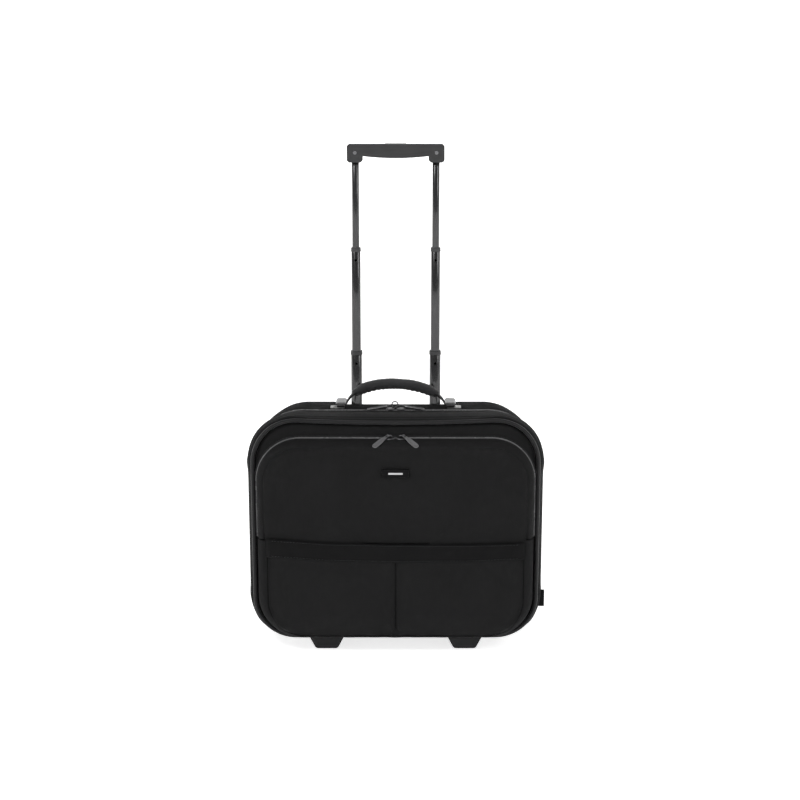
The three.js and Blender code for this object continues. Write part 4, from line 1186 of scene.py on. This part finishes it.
def slider(name, node, body, base, slope, side, ring=False):
    """A zip slider: a waisted body with side guides and an arch that holds the tab."""
    turn = Matrix.Rotation(slope, 3, "X")
    flip = Matrix.Diagonal((side, 1, 1))

    def placed(x, y, z):
        return Vector(base) + turn @ (flip @ Vector((x, y, z)))

    low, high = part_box(node)
    inner = 0.0015
    outer = 0.0145
    rings = []
    for z, grow in ((0.0, -0.0004), (0.0006, 0.0), (0.0018, 0.0), (0.0024, -0.0006)):
        ring = []
        for i in range(28):
            a = 2 * math.pi * i / 28
            x = (inner + outer) / 2 + (outer - inner) / 2 * math.cos(a)
            width = 0.0040 - 0.0012 * math.cos(a) ** 2
            shape = math.copysign(abs(math.sin(a)) ** 0.6, math.sin(a))
            ring.append(placed(x + grow * math.cos(a), (width + grow) * shape, z))
        rings.append(ring)
    loft(f"{name}_body", rings, body, SLIDER_METAL, caps=True, flip=side < 0, replaces=(node,))
    bridge = [placed(x, 0, z) for x, z in (
        (0.0050, 0.0016), (0.0050, 0.0052), (0.0056, 0.0068), (0.0070, 0.0074), (0.0098, 0.0074),
        (0.0118, 0.0070), (0.0127, 0.0056), (0.0129, 0.0034), (0.0129, 0.0016))]
    tube_along(f"{name}_bridge", bridge, 0.00062, body, SLIDER_METAL, sides=8,
               squash=(1.5, 0.85), up=tuple(turn @ Vector((0, 1, 0))))
    if ring:
        centre = Vector((-0.0012, ZIP_Y, base[2] + 0.0082))
        loop = [centre + Vector((math.sin(a), 0, -math.cos(a))) * 0.0046
                for a in [2 * math.pi * i / 32 for i in range(32)]]
        tube_along(f"{name}_lock_ring", loop, 0.0009, body, SLIDER_METAL, closed=True, sides=10)
        stem_line = ((-0.0042, 0.0014), (-0.0040, 0.0032), (-0.0032, 0.0044))
        stem = [Vector((x, ZIP_Y, base[2] + z)) for x, z in stem_line]
        tube_along(f"{name}_stem", stem, 0.0009, body, SLIDER_METAL, sides=8)


def pull_tab(name, node, body, pivot, along, face, length, width, rim=False):
    """A moulded pull: a wire eye, a waisted neck, a thumb pad with a raised edge and a small hole. It may
    have a metal rim."""
    x_way = Vector(along).normalized()
    z_way = Vector(face).normalized()
    y_way = z_way.cross(x_way).normalized()
    z_way = x_way.cross(y_way).normalized()

    def placed(x, y, z):
        return Vector(pivot) + x_way * x + y_way * y + z_way * z

    eye = [placed(0.0026 * math.cos(a) * 1.15, 0.0019 * math.sin(a), 0)
           for a in [2 * math.pi * i / 24 for i in range(24)]]
    tube_along(f"{name}_eye", eye, 0.0006, body, SLIDER_METAL, closed=True, sides=8,
               up=tuple(z_way), replaces=(node,))
    start = 0.0028
    half = width / 2
    stations = [
        (start, 0.0021, 0.0008),
        (start + 0.0010, 0.0025, 0.0011),
        (length * 0.28, 0.0028, 0.0011),
        (length * 0.40, half * 0.92, 0.0011),
        (length * 0.60, half, 0.0010),
        (length - half * 0.9, half, 0.0010),
        (length - half * 0.45, half * 0.90, 0.0010),
        (length - half * 0.15, half * 0.66, 0.0009),
        (length, half * 0.25, 0.0006),
    ]
    rings = []
    for x, w, t in stations:
        pad = 0.45 if length * 0.35 < x < length - half * 0.3 else 1.0
        section = [(-1, 0), (-0.97, 0.7), (-0.88, 1), (-0.72, 1), (-0.62, pad), (0, pad), (0.62, pad),
                   (0.72, 1), (0.88, 1), (0.97, 0.7), (1, 0), (0.97, -0.7), (0.88, -1), (0, -1),
                   (-0.88, -1), (-0.97, -0.7)]
        rings.append([placed(x, w * a, t * b) for a, b in section])
    pad_piece = loft(f"{name}_pad", rings, body, PULL_RUBBER, caps=True, flip=True)
    subdivide(pad_piece, 2)
    if rim:
        upper = [placed(x, w, 0.0001) for x, w, _ in stations]
        lower = [placed(x, -w, 0.0001) for x, w, _ in reversed(stations)]
        tube_along(f"{name}_rim", upper + lower, 0.0007, body, RIM_METAL, closed=True, sides=8,
                   up=tuple(z_way))
    rivet = [placed(length - half * 0.95 + 0.0011 * math.cos(a), 0.0011 * math.sin(a), 0.0009)
             for a in [2 * math.pi * i / 16 for i in range(16)]]
    tube_along(f"{name}_hole_rim", rivet, 0.00035, body, PULL_RUBBER, closed=True, sides=6,
               up=tuple(z_way))


JOINTS = {j["name"]: j for j in frame["record"]["behaviour"]["joints"]}
TAB_TILT = math.radians(9)
MAIN_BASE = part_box("main_slider_right")[0][2]
for side, word in ((-1, "left"), (1, "right")):
    slider(f"main_slide_{word}", f"main_slider_{word}", f"main_slider_{word}", (0, ZIP_Y, MAIN_BASE), 0, side,
           side < 0)
    pivot = JOINTS[f"main_tab_swing_{word}"]["pos_m"]
    along = (side * math.cos(TAB_TILT), 0, -math.sin(TAB_TILT))
    face = (side * math.sin(TAB_TILT), 0, math.cos(TAB_TILT))
    pull_tab(f"main_pull_{word}", f"main_puller_{word}", f"main_puller_{word}", pivot, along, face, 0.032,
             0.008, rim=True)

POCKET_SLOPE = math.atan2(0.007, FLAP_BASE - 0.0003 - FLAP_FACE)
POCKET_TURN = math.radians(46)
for side, word in ((-1, "left"), (1, "right")):
    base = (0, LID_Y - 0.0055, POCKET_TOP + 0.0006)
    slider(f"pocket_slide_{word}", f"pocket_slider_{word}", f"pocket_slider_{word}", base, POCKET_SLOPE, side)
    pivot = JOINTS[f"pocket_tab_swing_{word}"]["pos_m"]
    tilt = Matrix.Rotation(POCKET_SLOPE, 3, "X")
    local_along = Vector((side * math.cos(POCKET_TURN) * math.cos(TAB_TILT),
                          -math.sin(POCKET_TURN) * math.cos(TAB_TILT), -math.sin(TAB_TILT)))
    local_face = Vector((side * math.cos(POCKET_TURN) * math.sin(TAB_TILT),
                         -math.sin(POCKET_TURN) * math.sin(TAB_TILT), math.cos(TAB_TILT)))
    pull_tab(f"pocket_pull_{word}", f"pocket_puller_{word}", f"pocket_puller_{word}", pivot,
             tilt @ local_along, tilt @ local_face, 0.029, 0.0085)

# ---------------------------------------------------------------- carry handle

SLEEVE_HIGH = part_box("carry_sleeve")[1]
STRAP_LOW, STRAP_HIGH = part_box("carry_strap")
HANDLE_Y = middle("carry_strap").y
CROWN = STRAP_HIGH[2] - 0.0012


def handle_height(x):
    """The handle's middle line: flat-topped in the middle, steep near its feet."""
    t = min(1.0, abs(x + 0.0045 * (1 - (x / STRAP_HIGH[0]) ** 2)) / STRAP_HIGH[0])
    return STRAP_LOW[2] + (CROWN - STRAP_LOW[2]) * math.sqrt(1 - t ** 2.1)


def handle_line(reach, steps):
    points = []
    for i in range(steps + 1):
        a = -math.pi / 2 + math.pi * i / steps
        x = reach * math.sin(a)
        points.append(Vector((x, HANDLE_Y, handle_height(x))))
    return points


def carry_handle():
    line = handle_line(SLEEVE_HIGH[0] - 0.002, 150)
    rings = []
    sides = 32
    for i, p in enumerate(line):
        before, after = line[max(0, i - 1)], line[min(len(line) - 1, i + 1)]
        tangent = (after - before).normalized()
        up_way = Vector((-tangent.z, 0, tangent.x))
        end = min(1.0, 0.62 + 0.38 * min(1.0, (SLEEVE_HIGH[0] - abs(p.x)) / 0.012))
        ring = []
        for k in range(sides):
            a = 2 * math.pi * k / sides
            under = max(0.0, -math.cos(a)) ** 1.5
            gathers = abs(math.sin(p.x * 500 + 1.3 * math.sin(p.x * 90))) - 0.6
            ripple = gathers * 0.0011 * (0.25 + 0.75 * under)
            slack = noise.noise(Vector((p.x * 60, math.cos(a) * 1.2, 9.0))) * 0.0006
            width = 0.0120 * end
            thick = 0.0080 * end
            across = math.sin(a) * (width + ripple + slack)
            upward = math.cos(a) * (thick + ripple + slack)
            ring.append(p + Vector((0, across, 0)) + up_way * upward)
        rings.append(ring)
    obj = loft("carry_handle_wrap", rings, "carry_handle", WRAP, caps=True, flip=True,
               replaces=("carry_sleeve",))
    subdivide(obj)
    strap_line = handle_line(STRAP_HIGH[0] - 0.001, 80)
    strap_rings = []
    for i, p in enumerate(strap_line):
        before, after = strap_line[max(0, i - 1)], strap_line[min(len(strap_line) - 1, i + 1)]
        tangent = (after - before).normalized()
        up_way = Vector((-tangent.z, 0, tangent.x))
        neck = min(1.0, max(0.0, (p.z - STRAP_LOW[2] - 0.004) / 0.010))
        width = 0.0028 + 0.0070 * neck
        ring = [p + Vector((0, width * a, 0)) + up_way * 0.0011 * b
                for a, b in ((-1, -0.4), (-0.94, -1), (0, -1), (0.94, -1), (1, -0.4), (1, 0.4), (0.94, 1),
                             (0, 1), (-0.94, 1), (-1, 0.4))]
        strap_rings.append(ring)
    loft("carry_handle_strap", strap_rings, "carry_handle", STRAP, caps=True, flip=True,
         replaces=("carry_strap",))
    low_seam = []
    for p in handle_line(SLEEVE_HIGH[0] - 0.006, 90):
        slope = (handle_height(p.x + 0.001) - handle_height(p.x - 0.001)) / 0.002
        normal = Vector((-slope, 0, 1)).normalized()
        low_seam.append(p - normal * 0.0072)
    stitches("carry_handle_stitches", low_seam, (0, -0.3, -1), "carry_handle", 0.003, 0.0016, 0.0004)


carry_handle()

for side, word in ((-1, "left"), (1, "right")):
    rounded_slab(f"handle_foot_patch_{word}", (0.013, 0.019, 0.0014), 0.002, 0.0002,
                 (side * (STRAP_HIGH[0] + 0.0080), HANDLE_Y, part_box("handle_anchor_left")[1][2] + 0.0002),
                 Matrix.Identity(3), "case_body", STRAP)
    node = frame["nodes"][f"handle_anchor_{word}"]
    node.data.materials.clear()
    node.data.materials.append(STEEL)
    bevel(node, 0.0003, 2)

# ---------------------------------------------------------------- pull handle


def superellipse(cx, cy, a, b, power, z, sides=48):
    ring = []
    for k in range(sides):
        angle = 2 * math.pi * k / sides
        c, s = math.cos(angle), math.sin(angle)
        x = math.copysign(abs(c) ** (2 / power), c) * a
        y = math.copysign(abs(s) ** (2 / power), s) * b
        ring.append(Vector((cx + x, cy + y, z)))
    return ring


def tube(node, body, wall, holes=()):
    """A drawn oval tube with a rolled lip at its top, hollow all the way."""
    low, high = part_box(node)
    cx, cy = (low[0] + high[0]) / 2, (low[1] + high[1]) / 2
    a, b = (high[0] - low[0]) / 2, (high[1] - low[1]) / 2
    rings = []
    for inset, z in ((0.0004, low[2]), (0.0, low[2] + 0.0005), (0.0, high[2] - 0.0005), (0.0004, high[2]),
                     (wall - 0.0003, high[2]), (wall, high[2] - 0.0005), (wall, low[2] + 0.0005),
                     (wall - 0.0003, low[2])):
        rings.append(superellipse(cx, cy, a - inset, b - inset, 2.6, z))
    rings.append(rings[0])
    obj = loft(f"{node}_drawn", rings, body, TUBE_METAL, replaces=(node,))
    bevel(obj, 0.0001, 1, 50)
    for drop in holes:
        rim = [Vector((cx + 0.0025 * math.cos(t), low[1] + 0.0001, high[2] - drop + 0.0025 * math.sin(t)))
               for t in [2 * math.pi * i / 20 for i in range(20)]]
        tube_along(f"{node}_hole_rim", rim, 0.0003, body, TUBE_METAL, closed=True, sides=6)
        plug = [Vector((cx + r * math.cos(t), low[1] - 0.0001, high[2] - drop + r * math.sin(t)))
                for r in (0.0022, 0.0008) for t in [2 * math.pi * i / 20 for i in range(20)]]
        rings = [plug[:20], plug[20:]]
        loft(f"{node}_lock_pin", rings, body, RUBBER, caps=True)


def collar(node, body):
    """A guide collar: a flared skirt, a waist and a rounded top lip."""
    low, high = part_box(node)
    cx, cy = (low[0] + high[0]) / 2, (low[1] + high[1]) / 2
    a, b = (high[0] - low[0]) / 2, (high[1] - low[1]) / 2
    height = high[2] - low[2]
    bore = 0.0019
    rings = []
    for inset, t in ((0.0004, 0.0), (0.0, 0.1), (0.0, 0.42), (0.0004, 0.52), (0.0004, 0.6), (0.0001, 0.7),
                     (0.0002, 0.86), (0.0007, 1.0), (bore - 0.0003, 1.0), (bore, 0.9), (bore, 0.0)):
        rings.append(superellipse(cx, cy, a - inset, b - inset, 2.7, low[2] + height * t))
    rings.append(rings[0])
    loft(f"{node}_moulding", rings, body, COLLAR_PLASTIC, replaces=(node,))


for word in ("left", "right"):
    tube(f"base_tube_{word}", "case_body", 0.0011)
    tube(f"stage1_tube_{word}", "trolley_stage_1", 0.0011, (0.013,))
    tube(f"stage2_tube_{word}", "trolley_stage_2", 0.0011, (0.013,))
    tube(f"stage3_tube_{word}", "trolley_stage_3", 0.0011)
    collar(f"stage1_collar_{word}", "trolley_stage_1")
    collar(f"stage2_collar_{word}", "trolley_stage_2")

HARD_NODES = {
    "trolley_bezel": (BEZEL_PLASTIC, 0.0012),
    "tube_bracket": (DARK_PLASTIC, 0.0004),
    "wheel_housing_left": (DARK_PLASTIC, 0.0016),
    "wheel_housing_right": (DARK_PLASTIC, 0.0016),
    "wheel_axle_left": (STEEL, 0.0003),
    "wheel_axle_right": (STEEL, 0.0003),
    "front_foot_left": (DARK_PLASTIC, 0.0016),
    "front_foot_right": (DARK_PLASTIC, 0.0016),
    "grip_front_shell": (GRIP_PLASTIC, 0.0009),
    "grip_back_shell": (GRIP_PLASTIC, 0.0009),
    "grip_screw_left": (SLIDER_METAL, 0.0002),
    "grip_screw_right": (SLIDER_METAL, 0.0002),
    "release_button": (BEZEL_PLASTIC, 0.0008),
    "release_yoke": (STEEL, 0.0003),
    "frame_board": (BOARD, 0.0005),
}
for name, (material, width) in HARD_NODES.items():
    node = frame["nodes"][name]
    node.data.materials.clear()
    node.data.materials.append(material)
    bevel(node, width, 3)

# ---------------------------------------------------------------- wheels


def lathe(name, profile, centre, body, material, sides=64, replaces=()):
    """A ring turned about an axis along X, from [radius, distance from the middle]."""
    rings = []
    for radius, offset in profile + profile[:1]:
        ring = []
        for k in range(sides):
            a = 2 * math.pi * k / sides
            ring.append(centre + Vector((offset, radius * math.cos(a), radius * math.sin(a))))
        rings.append(ring)
    return loft(name, rings, body, material, replaces=replaces)


def wheel(word):
    low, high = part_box(f"wheel_tyre_{word}")
    centre = middle(f"wheel_tyre_{word}")
    radius = (high[2] - low[2]) / 2
    half = (high[0] - low[0]) / 2
    rim = 0.0191
    tread = [(rim, -half), (radius - 0.005, -half), (radius - 0.0022, -half + 0.0008),
             (radius - 0.0004, -half + 0.0032)]
    tread += [(radius, -0.0046), (radius - 0.0009, -0.0042), (radius - 0.0009, -0.0034), (radius, -0.0030)]
    tread += [(r, -w) for r, w in reversed(tread)]
    lathe(f"wheel_tread_{word}", tread, centre, f"wheel_{word}", RUBBER,
          replaces=(f"wheel_tyre_{word}",))
    disc = [(0.0031, -half), (0.0066, -half), (0.0074, -half + 0.0010), (0.0080, -half + 0.0040),
            (0.0155, -half + 0.0046), (0.0172, -half + 0.0012), (0.0180, -half + 0.0006),
            (0.0190, -half + 0.0010)]
    disc += [(r, -w) for r, w in reversed(disc)]
    lathe(f"wheel_disc_{word}", disc, centre, f"wheel_{word}", HUB_PLASTIC,
          replaces=(f"wheel_hub_{word}",))
    for face in (-1, 1):
        for k in range(6):
            a = 2 * math.pi * (k + 0.5) / 6
            spoke = [centre + Vector((face * (half - 0.0038), r * math.cos(a), r * math.sin(a)))
                     for r in (0.0075, 0.0105, 0.0135, 0.0165)]
            tube_along(f"wheel_spoke_{word}_{face + 1}_{k}", spoke, 0.0013, f"wheel_{word}", HUB_PLASTIC,
                       sides=8, up=(1, 0, 0))


for word in ("left", "right"):
    wheel(word)

# ---------------------------------------------------------------- inside

COVER_LOW, COVER_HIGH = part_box("tube_cover")


def tube_cover():
    """The lined pad over the pull handle's tubes, with two sewn channels down it."""
    rings = []
    steps = 30
    for j in range(steps + 1):
        z = COVER_LOW[2] + (COVER_HIGH[2] - COVER_LOW[2]) * j / steps
        end = min(1.0, 5 * min(j, steps - j) / steps + 0.4)
        ring = []
        half = COVER_HIGH[0]
        turn = [(half, COVER_HIGH[1]), (half, 0.084), (half - 0.001, 0.070),
                (half - 0.006, COVER_LOW[1] + 0.001)]
        profile = [(-x, y) for x, y in turn]
        profile += [(-half + 0.012 + (2 * half - 0.024) * i / 32, COVER_LOW[1]) for i in range(33)]
        profile += reversed(turn)
        for x, y in profile:
            channel = sum(math.exp(-(((x - c) / 0.004) ** 2)) for c in (-0.034, 0.034))
            front = y < COVER_LOW[1] + 0.002
            ring.append(Vector((x, y + (0.0016 * channel + 0.001 * (1 - end) if front else 0), z)))
        rings.append(ring)
    obj = loft("tube_cover_pad", rings, "case_body", PAD_CLOTH, closed=False, flip=True,
               replaces=("tube_cover",))
    return subdivide(solidify(obj, 0.0018, -1))


tube_cover()

SLEEVE_IN_LOW, SLEEVE_IN_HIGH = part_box("laptop_sleeve")


def laptop_sleeve():
    """The padded front of the laptop pocket: quilted, with a bound top edge and a closing strap."""
    half = SLEEVE_IN_HIGH[0]
    front = SLEEVE_IN_LOW[1]
    top = SLEEVE_IN_HIGH[2]
    low = SLEEVE_IN_LOW[2]
    corner = 0.055
    rows = []
    for j in range(33):
        t = j / 32
        row = []
        for i in range(49):
            x = -half + 2 * half * i / 48
            over = max(0.0, abs(x) - (half - corner))
            foot = low + corner - math.sqrt(max(0.0, corner ** 2 - over ** 2))
            z = foot + (top - foot) * t
            edge = min(1.0, min(half - abs(x), z - foot, top - z) / 0.012)
            quilt = abs(math.sin(x * 42)) ** 0.6 * abs(math.sin((z - low) * 42)) ** 0.6
            row.append(Vector((x, front + 0.003 - 0.0028 * max(0.0, edge) * (0.45 + 0.55 * quilt), z)))
        rows.append(row)
    obj = loft("laptop_sleeve_pad", rows, "case_body", PAD_CLOTH, closed=False, flat_uv=True,
               replaces=("laptop_sleeve",))
    solidify(obj, 0.004, -1)
    subdivide(obj)
    binding = [Vector((-half + 0.012 + (2 * half - 0.024) * i / 40, front + 0.0035, top)) for i in range(41)]
    tube_along("laptop_sleeve_binding", binding, 0.0026, "case_body", CORD, sides=10, up=(0, 1, 0))
    strap = [Vector((0, y, z)) for y, z in (
        (0.0615, top + 0.012), (0.058, top + 0.014), (front + 0.004, top + 0.010),
        (front - 0.0014, top + 0.002), (front - 0.0022, top - 0.010), (front - 0.0022, top - 0.045))]
    tube_along("laptop_strap", strap, 0.0125, "case_body", STRAP, sides=16, squash=(1, 0.07),
               up=(1, 0, 0))


laptop_sleeve()
